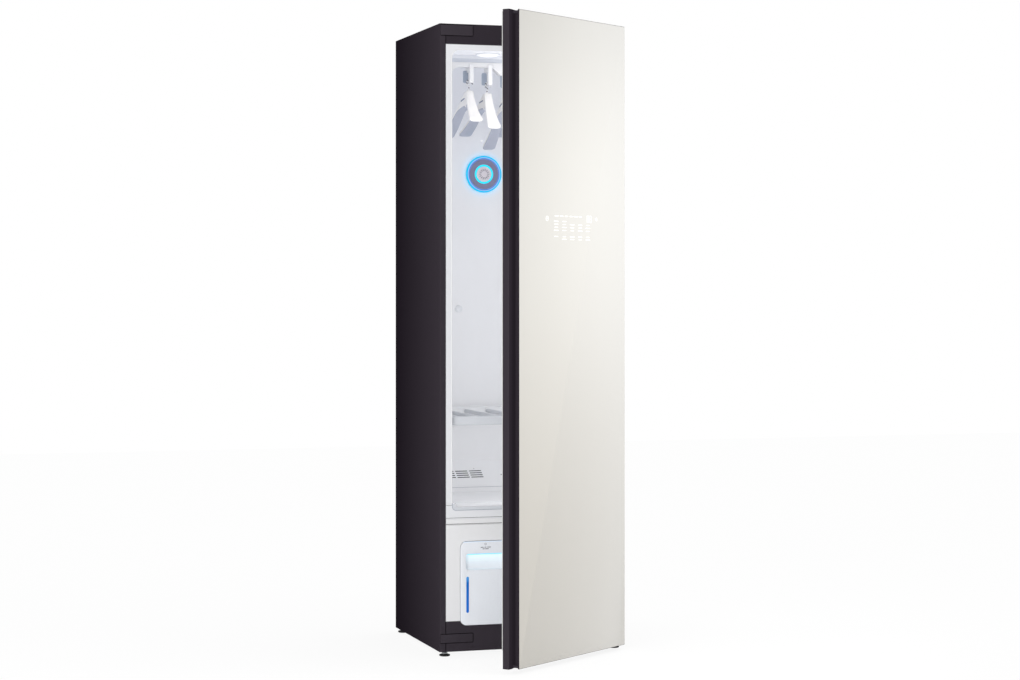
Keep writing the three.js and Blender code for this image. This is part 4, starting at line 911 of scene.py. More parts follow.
class Form:
    """A mesh in the making, in the drawing's millimetres."""

    def __init__(self, finish: Finish) -> None:
        """Starts an empty mesh.

        Args:
            finish: The finish that it starts in.
        """
        self.mesh = bmesh.new()
        self.finishes = [finish]
        self.current = 0

    def switch(self, finish: Finish) -> "Form":
        """Gives what is added from here on another finish.

        Args:
            finish: The finish.

        Returns:
            This form.
        """
        if finish not in self.finishes:
            self.finishes.append(finish)
        self.current = self.finishes.index(finish)
        return self

    def skin(self, rings: Sequence[Sequence[Vector]], caps: bool = True, loop: bool = False) -> "Form":
        """Stretches a surface over rings of points.

        Args:
            rings: The rings, all with as many points.
            caps: Whether the first and last ring are closed.
            loop: Whether the last ring joins the first.

        Returns:
            This form.
        """
        made = [[self.mesh.verts.new(point) for point in ring] for ring in rings]
        count = len(made[0])
        for i in range(len(made) if loop else len(made) - 1):
            first, second = made[i], made[(i + 1) % len(made)]
            for k in range(count):
                n = (k + 1) % count
                self.face([first[k], first[n], second[n], second[k]])
        if caps and not loop:
            self.face(made[0])
            self.face(made[-1])
        return self

    def face(self, corners: Sequence[bmesh.types.BMVert]) -> None:
        """Adds one face in the current finish."""
        self.mesh.faces.new(corners).material_index = self.current

    def lid(self, corners: Sequence[Vector]) -> None:
        """Adds one face with new corners in the current finish."""
        self.face([self.mesh.verts.new(corner) for corner in corners])

    def repaint(self, finish: Finish, chosen: Callable[[bmesh.types.BMFace], bool]) -> "Form":
        """Gives the faces that are chosen, and what is added from here on, another finish.

        Args:
            finish: The finish.
            chosen: Tells whether a face is one of them.

        Returns:
            This form.
        """
        self.switch(finish)
        for face in self.mesh.faces:
            if chosen(face):
                face.material_index = self.current
        return self

    def prism(self, outline: Sequence[Vector], low: float, high: float, facing: Facing, edge: float = 0.0,
              hole: Sequence[Vector] | None = None, steps: int = 3) -> "Form":
        """Runs an outline out into a body with rounded edges.

        Args:
            outline: The outline, anticlockwise.
            low: Where the run starts.
            high: Where it ends.
            facing: The outline's plane.
            edge: The radius of its edges.
            hole: An outline inside it with as many points, which is left open.
            steps: The chords of an edge.

        Returns:
            This form.
        """
        turns = [math.pi / 2 * k / steps for k in range(steps + 1)] if edge else [math.pi / 2]
        ends = [(edge * (1 - math.sin(a)), edge * (1 - math.cos(a))) for a in turns]
        run = [(back, low + rise) for back, rise in ends]
        run += [(back, high - rise) for back, rise in reversed(ends)]
        rings = [[facing.point(p.x, p.y, w) for p in inset(outline, back)] for back, w in run]
        if hole is None:
            return self.skin(rings)
        inner = [[facing.point(p.x, p.y, w) for p in inset(hole, -back)] for back, w in reversed(run)]
        return self.skin(rings + inner, loop=True)

    def plate(self, box: Sequence[float], radius: float, low: float, high: float, edge: float = 0.1,
              steps: int = 6) -> "Form":
        """Adds a plate with round corners that faces the front.

        Args:
            box: Its left, lower, right and upper side.
            radius: Its corners' radius.
            low: Where its face is.
            high: Where its back is.
            edge: The radius of its edges.
            steps: The chords of each corner.

        Returns:
            This form.
        """
        return self.prism(rounded(*box, radius, steps), low, high, Facing.FRONT, edge)

    def sweep(self, path: Sequence[Vector], section: Sequence[Vector], normal: Vector, closed: bool = False,
              twist: float = 0.0, scales: Sequence[float] | None = None) -> "Form":
        """Runs a section along a path that lies in one plane.

        Args:
            path: The path's points.
            section: The section: first across the path in its plane, then along the normal.
            normal: The plane's normal.
            closed: Whether the path closes on itself.
            twist: How many turns the section makes along the way.
            scales: The section's size at each point.

        Returns:
            This form.
        """
        rings = []
        last = len(path) - 1
        for i, point in enumerate(path):
            before = path[i - 1] if closed or i else point
            after = path[(i + 1) % len(path)] if closed or i < last else point
            across = normal.cross((after - before).normalized()).normalized()
            turn = 2 * math.pi * twist * i / max(last, 1)
            size = scales[i] if scales else 1.0
            ring = []
            for p in section:
                u = (p.x * math.cos(turn) - p.y * math.sin(turn)) * size
                v = (p.x * math.sin(turn) + p.y * math.cos(turn)) * size
                ring.append(point + across * u + normal * v)
            rings.append(ring)
        return self.skin(rings, caps=not closed, loop=closed)

    def lathe(self, profile: Sequence[Point2], centre: Point3, facing: Facing, sides: int = 64) -> "Form":
        """Turns a profile about an axis.

        Args:
            profile: Radius and height along the axis, point by point.
            centre: Where the axis starts.
            facing: The plane that the turned circles lie in.
            sides: The chords of a circle.

        Returns:
            This form.
        """
        base = Vector(centre)
        rings = [[base + facing.point(p.x, p.y, rise) for p in circle((0, 0), max(radius, 0.02), sides)]
                 for radius, rise in profile]
        closed = profile[0][0] > 0.02 and profile[0] == profile[-1]
        return self.skin(rings[:-1] if closed else rings, caps=not closed, loop=closed)

    def screw(self, centre: Point3, facing: Facing, out: float, radius: float = 3.4) -> "Form":
        """Adds a pan head screw with a dimple for its driver.

        Args:
            centre: The middle of its seat.
            facing: The plane that it sits on.
            out: Which way it stands out along the plane's run, and how far.
            radius: The head's radius.

        Returns:
            This form.
        """
        share = ((0.0, 0.45), (0.3, 0.5), (0.42, 0.92), (0.62, 1.0), (0.85, 0.8), (0.97, 0.4), (1.0, 0.0))
        return self.lathe([(radius * r, out * h) for r, h in share], centre, facing, 18)

    def piece(self, name: str, body: str, space: Space = Space.CABINET, replaces: Sequence[str] = (),
              crease: float = 32.0, turn: Matrix | None = None) -> bpy.types.Object:
        """Closes the mesh and puts it in the scene.

        Args:
            name: The piece's name.
            body: The body that it rides on.
            space: The drawing that it is measured in.
            replaces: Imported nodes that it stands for.
            crease: From which angle an edge stays sharp, in degrees.
            turn: A move within the drawing, made first.

        Returns:
            The new object.
        """
        bmesh.ops.remove_doubles(self.mesh, verts=self.mesh.verts, dist=1e-4)
        bmesh.ops.recalc_face_normals(self.mesh, faces=self.mesh.faces)
        matrix = space.matrix() @ (turn or Matrix.Identity(4))
        bmesh.ops.transform(self.mesh, matrix=matrix, verts=self.mesh.verts)
        data = bpy.data.meshes.new(name)
        self.mesh.to_mesh(data)
        self.mesh.free()
        for finish in self.finishes:
            data.materials.append(finish.material())
        data.shade_smooth()
        data.set_sharp_from_angle(angle=math.radians(crease))
        made = add_object(name, data)
        if replaces:
            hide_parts(*replaces)
        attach(made, body)
        LOG.info("%s: %d faces on %s", name, len(data.polygons), body)
        return made


def dress(finish: Finish, *nodes: str, soften: float = 0.0) -> None:
    """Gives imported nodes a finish.

    Args:
        finish: The finish.
        nodes: The nodes' names.
        soften: The radius in millimetres that their sharp edges are broken to when they are drawn.
    """
    for name in nodes:
        node = frame["nodes"][name]
        if not node.material_slots:
            node.data.materials.append(finish.material())
        for place in node.material_slots:
            place.material = finish.material()
        if soften:
            weld = node.modifiers.new("join_corners", "WELD")
            weld.merge_threshold = 1e-5
            bevel = node.modifiers.new("broken_edges", "BEVEL")
            bevel.width, bevel.segments, bevel.limit_method = soften / 1000, 2, "ANGLE"
            bevel.angle_limit = math.radians(50)
            bevel.harden_normals = False
        LOG.info("%s: dressed in %s", name, finish.name)


@dataclass
class Studio:
    """The white room, its lamps and the camera. Places are in the cabinet's millimetres.

    Each lamp has its name, where it hangs, what it faces, its width and height in metres, and its watts.
    """

    eye: Point3 = (-2200.35, -6773.08, 1145.78)
    yaw: float = -17.44
    lens: float = 80.23
    shift: float = -0.0522
    ambient: float = 0.95
    floor_white: float = 0.88
    lamps: tuple[tuple[str, Point3, Point3, Point2, float], ...] = (
        ("key_softbox", (900, -940, 1500), (200, -90, 1300), (0.9, 0.9), 13),
        ("left_softbox", (-3000, -3000, 700), (-250, 0, 900), (1.5, 1.5), 57),
        ("ceiling_glow_1", (-85, 120, 1872), (-85, 130, 400), (0.16, 0.1), 0.08),
        ("ceiling_glow_3", (85, 120, 1872), (85, 130, 400), (0.16, 0.1), 0.08),
        ("cavity_fill_upper", (0, 30, 1290), (0, 530, 1290), (0.46, 1.05), 0.95),
        ("cavity_fill_lower", (0, 30, 600), (0, 530, 600), (0.46, 0.2), 0.34),
        ("cavity_fill_side", (-255, 330, 1740), (0, 330, 1740), (0.35, 0.2), 0.04))

    def spot(self, point: Point3) -> Vector:
        """Gives a cabinet point in the row's metres."""
        return ORIGIN + Vector(point) / 1000

    def seen(self, shader: Shader, direct: float = 1.0) -> Wire:
        """Tells rays of the camera, and those in gloss and glass, from the rest.

        Args:
            shader: The shader that asks.
            direct: What a ray of the camera gives.

        Returns:
            direct for a ray of the camera, 1 for one in gloss or glass and 0 for others.
        """
        path = shader.node("ShaderNodeLightPath").socket.node.outputs
        camera, glossy, through = (Wire(shader, path[name]) for name in
                                   ("Is Camera Ray", "Is Glossy Ray", "Is Transmission Ray"))
        return camera * direct + glossy + through

    def world(self) -> None:
        """Makes the world white where it is seen, and softer where it lights."""
        world = bpy.data.worlds.new("white_room")
        bpy.context.scene.world = world
        world.use_nodes = True
        strength = self.seen(Shader(world.node_tree)) * (1 - self.ambient) + self.ambient
        background = world.node_tree.nodes["Background"]
        background.inputs["Color"].default_value = FULL_LIGHT
        world.node_tree.links.new(strength.socket, background.inputs["Strength"])

    def floor(self) -> None:
        """Lays the pale floor, whose shadow stays faint beside its own white."""
        mesh = bmesh.new()
        bmesh.ops.create_grid(mesh, x_segments=24, y_segments=24, size=9.0)
        data = bpy.data.meshes.new("studio_floor")
        mesh.to_mesh(data)
        mesh.free()
        material = bpy.data.materials.new("studio_floor_pale")
        material.use_nodes = True
        tree = material.node_tree
        shader = Shader(tree)
        shades = (0.93, 0.93, 0.93, 1.0), (0.95, 0.95, 0.95, 1.0)
        shader.feed("Base Color", shader.blend(shader.noise(400, 2), *shades))
        shader.feed("Roughness", 0.9)
        shader.feed("Specular IOR Level", 0.0)
        white = shader.node("ShaderNodeEmission", {}, {"Color": FULL_LIGHT, "Strength": 1.0})
        body = Wire(shader, tree.nodes["Principled BSDF"].outputs["BSDF"])
        share = self.seen(shader, self.floor_white)
        mixed = shader.node("ShaderNodeMixShader", {}, {0: share, 1: body, 2: white})
        tree.links.new(mixed.socket, tree.nodes["Material Output"].inputs["Surface"])
        data.materials.append(material)
        add_object("studio_floor", data)

    def softbox(self, name: str, place: Point3, target: Point3, size: Point2, power: float) -> None:
        """Hangs a soft lamp that shows in no gloss.

        Args:
            name: The lamp's name.
            place: Where it hangs.
            target: What it faces.
            size: Its width and height in metres.
            power: Its power in watts.
        """
        light = bpy.data.lights.new(name, "AREA")
        light.shape, light.size, light.size_y, light.energy = "RECTANGLE", size[0], size[1], power
        lamp = add_object(name, light)
        here, there = self.spot(place), self.spot(target)
        aim = (there - here).to_track_quat("-Z", "Y").to_matrix().to_4x4()
        lamp.matrix_world = Matrix.Translation(here) @ aim
        lamp.visible_camera = False
        lamp.visible_glossy = False

    def camera(self) -> None:
        """Sets the camera where the photograph was taken."""
        data = bpy.data.cameras.new("photo_camera")
        data.sensor_width, data.lens = 36.0, self.lens
        data.shift_x, data.shift_y = 0.0, self.shift
        data.clip_start, data.clip_end = 0.1, 60.0
        camera = add_object("photo_camera", data)
        camera.location = self.spot(self.eye)
        camera.rotation_euler = (math.radians(90), 0.0, math.radians(self.yaw))
        bpy.context.scene.camera = camera

    def build(self) -> None:
        """Builds the room."""
        bpy.context.scene.view_settings.view_transform = "Standard"
        self.world()
        self.floor()
        for lamp in self.lamps:
            self.softbox(*lamp)
        self.camera()
        LOG.info("studio: world, floor, lamps and camera")


@dataclass
class SteelCase:
    """The folded steel case with its front strips, blind caps, back and feet."""

    half: float = 300.0
    depth: float = 545.0
    bottom: float = 15.0
    top: float = 1961.0
    sheet: float = 1.2
    front_return: float = 19.0
    rear_return: float = 15.0
    fold: float = 3.0
    cap_width: float = 104.0
    cap_inset: float = 2.0
    caps: tuple[tuple[str, float, float], ...] = (("upper", 1925.0, 1957.0), ("lower", 43.0, 69.0))
    seams: tuple[float, ...] = (409.8, 429.0, 1897.9)
    low_seam: float = 108.8
    tank_gaps: tuple[Point2, ...] = ((-281.0, -238.0), (-66.0, 66.0), (238.0, 281.0))
    flange_seam: float = 468.5
    flange_reach: float = 261.5
    seam_run: Point2 = (-0.2, 1.4)
    # heights of the joints beside the flanks, where painted shadow lies
    shadowed_joints: tuple[Point2, ...] = ((16, 109), (1898, 1960))
    back_face: float = 543.5
    bead_reach: float = 205.0
    louvre_rows: int = 12
    louvre_foot: float = 212.0
    louvre_pitch: float = 14.0
    foot_profile: tuple[Point2, ...] = ((0, 0), (14.2, 0), (16.2, 0.8), (17, 2.4), (17, 4.0), (16.2, 5.2),
                                        (11, 6.4), (10.5, 7), (0, 7))
    feet: tuple[tuple[str, float, float], ...] = (
        ("front_left", -279.0, 20.0), ("front_right", 279.0, 20.0),
        ("rear_left", -279.0, 525.0), ("rear_right", 279.0, 525.0))

    def side_outline(self) -> list[Vector]:
        """Draws the left panel's section, with its folds.

        Returns:
            The section in X and Y, anticlockwise.
        """
        h, r, t = self.half, self.fold, self.sheet
        front, rear = (r - h, r), (r - h, self.depth - r)
        outer = [Vector((self.front_return - h, 0)), *arc(front, r, 270, 180), *arc(rear, r, 180, 90),
                 Vector((self.rear_return - h, self.depth))]
        inner = [Vector((self.rear_return - h, self.depth - t)), *arc(rear, r - t, 90, 180),
                 *arc(front, r - t, 180, 270), Vector((self.front_return - h, t))]
        return (outer + inner)[::-1]

    def skins(self) -> None:
        """Makes both side panels; where the front fold faces forward it takes the paler enamel, painted light.
        """
        section = self.side_outline()
        for name, side in (("left", -1), ("right", 1)):
            outline = section if side < 0 else [Vector((-p.x, p.y)) for p in reversed(section)]
            form = Form(CASE).prism(outline, self.bottom, self.top, Facing.TOP)
            # painted light: forward faces of the front fold take the paler enamel
            form.repaint(CASE_FRONT, lambda face: face.calc_center_median().y < 1.0 and face.calc_area() > 100
                         and len(face.verts) == 4)
            form.piece(f"{name}_case_skin", "cabinet", replaces=[f"{name}_side_panel"])

    def front_strips(self) -> None:
        """Makes painted shadow lines over the seams between the front's parts and in the joints beside the
        flanks.
        """
        reach = self.half - self.front_return
        form = Form(SEAM_SHADOW)

        def line(x0: float, x1: float, z0: float, z1: float) -> None:
            """Adds one fine line of painted shadow over the front."""
            form.plate((x0, z0, x1, z1), 0.3, *self.seam_run, steps=2)

        level = [(z, -reach, reach) for z in self.seams] + [(self.low_seam, *gap) for gap in self.tank_gaps]
        for z, x0, x1 in level:
            line(x0, x1, z - 0.7, z + 0.7)
        for side in (-1, 1):
            edge = side * reach
            form.switch(SEAM_SHADOW)
            line(edge - 0.6, edge + 0.6, self.shadowed_joints[0][1], self.shadowed_joints[1][0])
            line(*sorted((edge, side * self.flange_reach)), self.flange_seam - 0.6, self.flange_seam + 0.6)
            form.switch(GAP_SHADOW)
            for z0, z1 in self.shadowed_joints:
                line(edge - 1, edge + 1, z0, z1)
        form.piece("front_seams", "cabinet")

    def blind_caps(self) -> None:
        """Makes the blind caps, each over a dark plate that paints the shadow of the gap round it."""
        x0 = self.cap_inset - self.half
        x1 = x0 + self.cap_width
        for name, z0, z1 in self.caps:
            form = Form(CAP).plate((x0, z0, x1, z1), 2.0, -1.9, 0.0, 0.6)
            form.switch(GAP_SHADOW).plate((x0 - 0.6, z0 - 2.0, x1 + 2.0, z1 + 2.0), 3.2, -0.5, 0.0)
            form.piece(f"{name}_blind_cap", "cabinet", replaces=[f"{name}_hinge_cap"])

    def back(self) -> None:
        """Makes the back's pressed beads, louvres, service cover and screws."""
        face = self.back_face
        beads = Form(SHEET)
        for x in (-self.bead_reach, self.bead_reach):
            beads.plate((x - 9, 420, x + 9, 1780), 8.9, face - 0.2, face + 1.2, 1.0)
        beads.plate((-150, 1820, 150, 1836), 7.9, face - 0.2, face + 1.2, 1.0)
        beads.plate((-170, 45, 170, 175), 10, face - 0.2, face + 0.9, 0.7)
        beads.piece("back_pressed_beads", "cabinet")
        louvres = Form(SHEET)
        for middle in (-90, 90):
            for row in range(self.louvre_rows):
                z = self.louvre_foot + row * self.louvre_pitch
                x0, x1 = middle - 62, middle + 62
                louvres.switch(SHEET).plate((x0, z, x1, z + 7), 3.4, face - 0.2, face + 1.3, 1.1)
                # painted shade: a dark strip in each louvre's opening
                louvres.switch(GAP_SHADOW).plate((x0 + 3, z - 1.6, x1 - 3, z + 1), 1.2, face - 0.2, face + 0.25)
        louvres.piece("back_louvres", "cabinet")
        screws = Form(SCREW)
        for z in (35, 190, 400, 700, 1000, 1300, 1600, 1935):
            for x in (-288, 288):
                screws.screw((x, self.depth, z), Facing.FRONT, 1.4)
        for x, z in ((-160, 55), (160, 55), (-160, 165), (160, 165), (0, 55), (0, 165)):
            screws.screw((x, face + 0.8, z), Facing.FRONT, 1.2, 2.8)
        screws.piece("back_screws", "cabinet")

    def lid(self) -> None:
        """Makes the lid's pressed frame and its screws, but for the corner over the hinge."""
        form = Form(CASE)
        form.prism(rounded(-255, 60, 255, 500, 26), self.top - 0.3, self.top + 0.9, Facing.TOP, 0.8,
                   hole=rounded(-243, 72, 243, 488, 14))
        form.switch(SCREW)
        for x in (-286, -100, 100, 286):
            for y in (18, 528):
                if (x, y) != (286, 18):
                    form.screw((x, y, self.top), Facing.TOP, 1.6)
        form.piece("lid_pressings", "cabinet")

    def foot(self, name: str, x: float, y: float) -> None:
        """Makes one levelling foot: pad, hexagon and threaded stem.

        Args:
            name: The corner's name.
            x: Its place across.
            y: Its place from the front.
        """
        form = Form(RUBBER).lathe(self.foot_profile, (x, y, 0), Facing.TOP, 48)
        form.switch(SCREW).prism(circle((x, y), 9.2, 6), 6.8, 11.4, Facing.TOP, 0.7)
        thread = [(0.0, 11.0)]
        for k in range(10):
            thread += [(4.2, 11.2 + k * 1.25), (5.0, 11.8 + k * 1.25)]
        form.lathe([*thread, (4.2, 24.0), (0.0, 24.0)], (x, y, 0), Facing.TOP, 24)
        form.piece(f"{name}_levelling_foot", f"foot_{name}", replaces=[f"foot_{name}"])

    def build(self) -> None:
        """Builds the case."""
        self.skins()
        self.front_strips()
        self.blind_caps()
        self.back()
        self.lid()
        for foot in self.feet:
            self.foot(*foot)
        dress(CASE, "top_panel")
        dress(TOP_RAIL, "top_front_rail")
        dress(CASE_FRONT, "plinth")
        dress(CASE, "top_hinge", "bottom_hinge", soften=0.5)
        dress(SHEET, "back_panel", "base_pan")
        dress(PANEL, "lower_front_panel", "trim_strip")


@dataclass
class Cavity:
    """The moulded cavity with its lamps, sensor, grille and filter."""

    half: float = 260.0
    foot: float = 475.0
    top: float = 1880.0
    corner: float = 24.0
    back: float = 530.0
    ceiling: float = 1892.0
    lamps: tuple[tuple[str, float], ...] = (("left", -85.0), ("right", 85.0))
    lamp_depth: float = 200.0
    lamp_radius: float = 35.0
    cap: tuple[Point2, ...] = ((0, -4.2), (6, -4.4), (7.2, -3.4), (8.4, -3.6), (11.4, -3), (12.5, -1.6),
                               (12.6, 0), (0, 0))
    cap_place: Point2 = (-86.5, 1071.5)
    plug: tuple[Point2, ...] = ((0, -1.6), (1.8, -1.4), (2.6, -0.8), (2.8, 0), (0, 0))
    plug_place: Point2 = (-6.0, 1635.0)
    sill_foot: float = 452.5
    sill_corner: float = 12.0
    grille_foot: Point2 = (494.5, 488.0)
    grille_head: Point2 = (523.5, 556.0)
    slot_rows: int = 4
    slot_columns: int = 5
    slot_right: float = -13.0
    slot_pitch: float = 48.0
    slot_width: float = 42.5
    slot_start: float = 27.8
    slot_tall: float = 2.8
    row_pitch: float = 7.2
    row_shift: float = 2.0

    def mouth(self) -> None:
        """Makes the bead that runs round the mouth."""
        h, r, top = self.half + 1.6, self.corner + 1.6, self.top + 1.6
        flat = [Vector((-h, self.foot)), *arc((r - h, top - r), r, 180, 90, 10),
                *arc((h - r, top - r), r, 90, 0, 10), Vector((h, self.foot))]
        path = [Vector((p.x, 0.0, p.y)) for p in flat]
        Form(PANEL).sweep(path, oval(1.6, 0.8, 10), Vector((0, 1, 0))).piece("mouth_bead", "cabinet")

    def lights(self) -> None:
        """Makes the dome lamps and their bezels."""
        r = self.lamp_radius
        dome = [(r * math.sin(a), -3.4 - 6.4 * math.cos(a)) for a in (math.pi / 2 * k / 10 for k in range(11))]
        bezel = [(r + 0.2, 0), (r + 0.2, -3.4), (r + 1.4, -4.2), (r + 3.6, -3.4), (r + 5, 0), (r + 0.2, 0)]
        for name, x in self.lamps:
            place = (x, self.lamp_depth, self.ceiling)
            form = Form(LAMP).lathe([*dome, (r, -0.2), (0, -0.2)], place, Facing.TOP)
            form.switch(WHITE).lathe(bezel, place, Facing.TOP)
            form.piece(f"{name}_dome_lamp", "cabinet", replaces=[f"{name}_ceiling_lamp"])

    def sensors(self) -> None:
        """Makes the round sensor cap, and the small plug on the back wall with a painted glint in the lamps'
        glowing finish.
        """
        form = Form(WHITE)
        # painted highlight: the plug takes the lamps' glowing finish as a glint
        for finish, profile, (x, z), sides in ((WHITE, self.cap, self.cap_place, 48),
                                               (LAMP, self.plug, self.plug_place, 20)):
            form.switch(finish).lathe(profile, (x, self.back, z), Facing.FRONT, sides)
        form.piece("back_wall_plugs", "cabinet")

    def sill(self) -> None:
        """Makes the sill under the mouth, with round corners in a fine outline."""
        foot, h, c = self.sill_foot, self.half, self.sill_corner
        form = Form(SHELF).prism(rounded(-h, foot, h, 475.8, 11.5), -0.5, 0.2, Facing.FRONT, 0.2,
                                 hole=rounded(-250.8, 462.3, 250.8, 475.3, 6.4))
        flat = [Vector((-h, self.foot)), *arc((c - h, foot + c), c, 180, 270, 8),
                *arc((h - c, foot + c), c, 270, 360, 8), Vector((h, self.foot))]
        path = [Vector((p.x, -0.3, p.y)) for p in flat]
        form.switch(OUTLINE).sweep(path, oval(0.8, 0.6, 8), Vector((0, 1, 0)))
        form.piece("mouth_sill", "cabinet")

    def grille(self) -> None:
        """Makes the sloping panel at the foot of the back wall, with painted shade in its slots and joint, and
        two dark specks.
        """
        foot, head = Vector(self.grille_foot), Vector(self.grille_head)
        outline = [Vector((530.2, 462.4)), Vector((530.2, 567.0)), Vector((527.2, 563.0)), head, foot,
                   Vector((493.2, 483.0)), Vector((493.0, 462.4))]
        form = Form(CAVITY).prism(outline, 1 - self.half, self.half - 1, Facing.SIDE)
        down = (foot - head).normalized()
        out = Vector((down.y, -down.x))
        form.switch(GRILLE_SHADE)

        def dark_patch(x0: float, x1: float, start: float, tall: float) -> None:
            """Adds one dark patch in the slope.

            Args:
                x0: Its left end.
                x1: Its right end.
                start: How far down the slope its middle is.
                tall: Its height along the slope.
            """
            flat = rounded(x0, start - tall / 2, x1, start + tall / 2, tall * 0.45, 3)
            rings = []
            for rise in (-0.5, 0.12):
                spots = [(p.x, head + down * p.y + out * rise) for p in flat]
                rings.append([Vector((x, spot.x, spot.y)) for x, spot in spots])
            form.skin(rings)

        # painted shade: a dark patch where each slot is
        for row in range(self.slot_rows):
            for column in range(self.slot_columns):
                right = self.slot_right - column * self.slot_pitch + row * self.row_shift
                dark_patch(right - self.slot_width, right, self.slot_start + row * self.row_pitch, self.slot_tall)
        dark_patch(-38.6, -36.6, 19.0, 2.0)
        dark_patch(54.0, 57.0, 43.0, 3.6)
        # painted shadow: a grey line in the joint at the slope's foot
        form.switch(OUTLINE).plate((2 - self.half, 477.6, self.half - 2, 478.5), 0.4, 492.8, 493.5, steps=2)
        form.piece("grille_panel", "cabinet", replaces=["air_grille"])

    def filter_mesh(self) -> None:
        """Makes the filter's fine screen."""
        form = Form(SLATE)
        for k in range(19):
            x = 24 + k * 9.6
            if abs(x - 110) > 5:
                form.prism(rounded(x - 0.4, 80, x + 0.4, 160, 0.3, 2), 463.6, 464.4, Facing.TOP, 0.1)
        for k in range(9):
            y = 81 + k * 9.75
            form.prism(rounded(24, y - 0.4, 196, y + 0.4, 0.3, 2), 463.5, 464.3, Facing.TOP, 0.1)
        form.piece("filter_screen", "lint_filter")

    def build(self) -> None:
        """Builds the cavity."""
        dress(CAVITY, "inner_liner", "cavity_floor")
        dress(WHITE, "lint_filter")
        self.mouth()
        self.sill()
        self.lights()
        self.sensors()
        self.grille()
        self.filter_mesh()


@dataclass
class SteamOutlet:
    """The lit steam outlet on the back wall."""

    centre: Point3 = (0.0, 530.0, 1523.0)
    radius: float = 61.0
    outer: Point2 = (50.3, 61.4)
    annulus: Point2 = (32.3, 50.0)
    inner: Point2 = (25.9, 32.0)
    hub: float = 25.6
    foot: float = 3.5
    proud: float = 8.8
    slots: int = 14
    slot: tuple[float, float, float, float] = (10.5, -0.9, 18, 0.9)

    def band(self, name: str, node: str, finish: Finish, span: Point2, ripples: int) -> None:
        """Turns a ring of light with a rippled face.

        Args:
            name: The piece's name.
            node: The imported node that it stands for.
            finish: Its finish.
            span: Its inner and outer radius.
            ripples: How many ripples its face has.
        """
        inside, outside = span
        steps = 6 * ripples
        face = []
        for k in range(steps + 1):
            share = k / steps
            crown = math.sin(math.pi * share) * 0.9
            ripple = 0.35 * math.cos(2 * math.pi * ripples * share)
            face.append((inside + (outside - inside) * share, -(self.proud - 1.2 + crown + ripple)))
        profile = [(inside, -self.foot), *face, (outside, -self.foot), (inside, -self.foot)]
        form = Form(finish).lathe(profile, self.centre, Facing.FRONT, 96)
        form.piece(name, "cabinet", replaces=[node])

    def dish(self) -> None:
        """Makes the dish and the grey ring between the lights, which glow with painted light from the rings."""
        r, (low, high) = self.radius, self.annulus
        plate = [(0, -0.3), (r, -0.3), (r, -2.2), (r - 1, -3.3), (0, -3.3)]
        ring = [(low, -3.4), (low, -8.0), (low + 1, -9.0), (low + 3, -9.0), (low + 5, -8.2), (high - 4, -8.0),
                (high - 1.2, -9.0), (high, -8.4), (high, -3.4), (low, -3.4)]
        form = Form(DISH)
        for profile in (plate, ring):
            form.lathe(profile, self.centre, Facing.FRONT, 96)
        form.piece("outlet_dish", "cabinet", replaces=["steam_outlet_dish"])

    def slotted_hub(self) -> None:
        """Makes the crowned hub, and its slots round its middle like rays as dark patches of painted shade."""
        x, y, z = self.centre
        r = self.hub
        crown = [(r * s, -(9.4 + 1.6 * math.cos(math.pi / 2 * s))) for s in (k / 10 for k in range(10))]
        profile = [*crown, (r - 0.8, -9.3), (r, -8.4), (r, -self.foot), (0, -self.foot)]
        form = Form(HUB).lathe(profile, self.centre, Facing.FRONT, 72)
        form.switch(HUB_SLOT_SHADE)
        for k in range(self.slots):
            turn = 2 * math.pi * k / self.slots
            along, across = Vector((math.cos(turn), math.sin(turn))), Vector((-math.sin(turn), math.cos(turn)))
            ray = [along * p.x + across * p.y + Vector((x, z)) for p in rounded(*self.slot, 0.85, 4)]
            form.prism(ray, y - 11.0, y - 8.0, Facing.FRONT, 0.1)
        form.piece("outlet_hub", "cabinet", replaces=["steam_outlet_hub"])

    def build(self) -> None:
        """Builds the outlet."""
        self.dish()
        self.band("outlet_outer_glow", "outer_light_ring", OUTER, self.outer, 3)
        self.band("outlet_inner_glow", "inner_light_ring", INNER, self.inner, 2)
        self.slotted_hub()


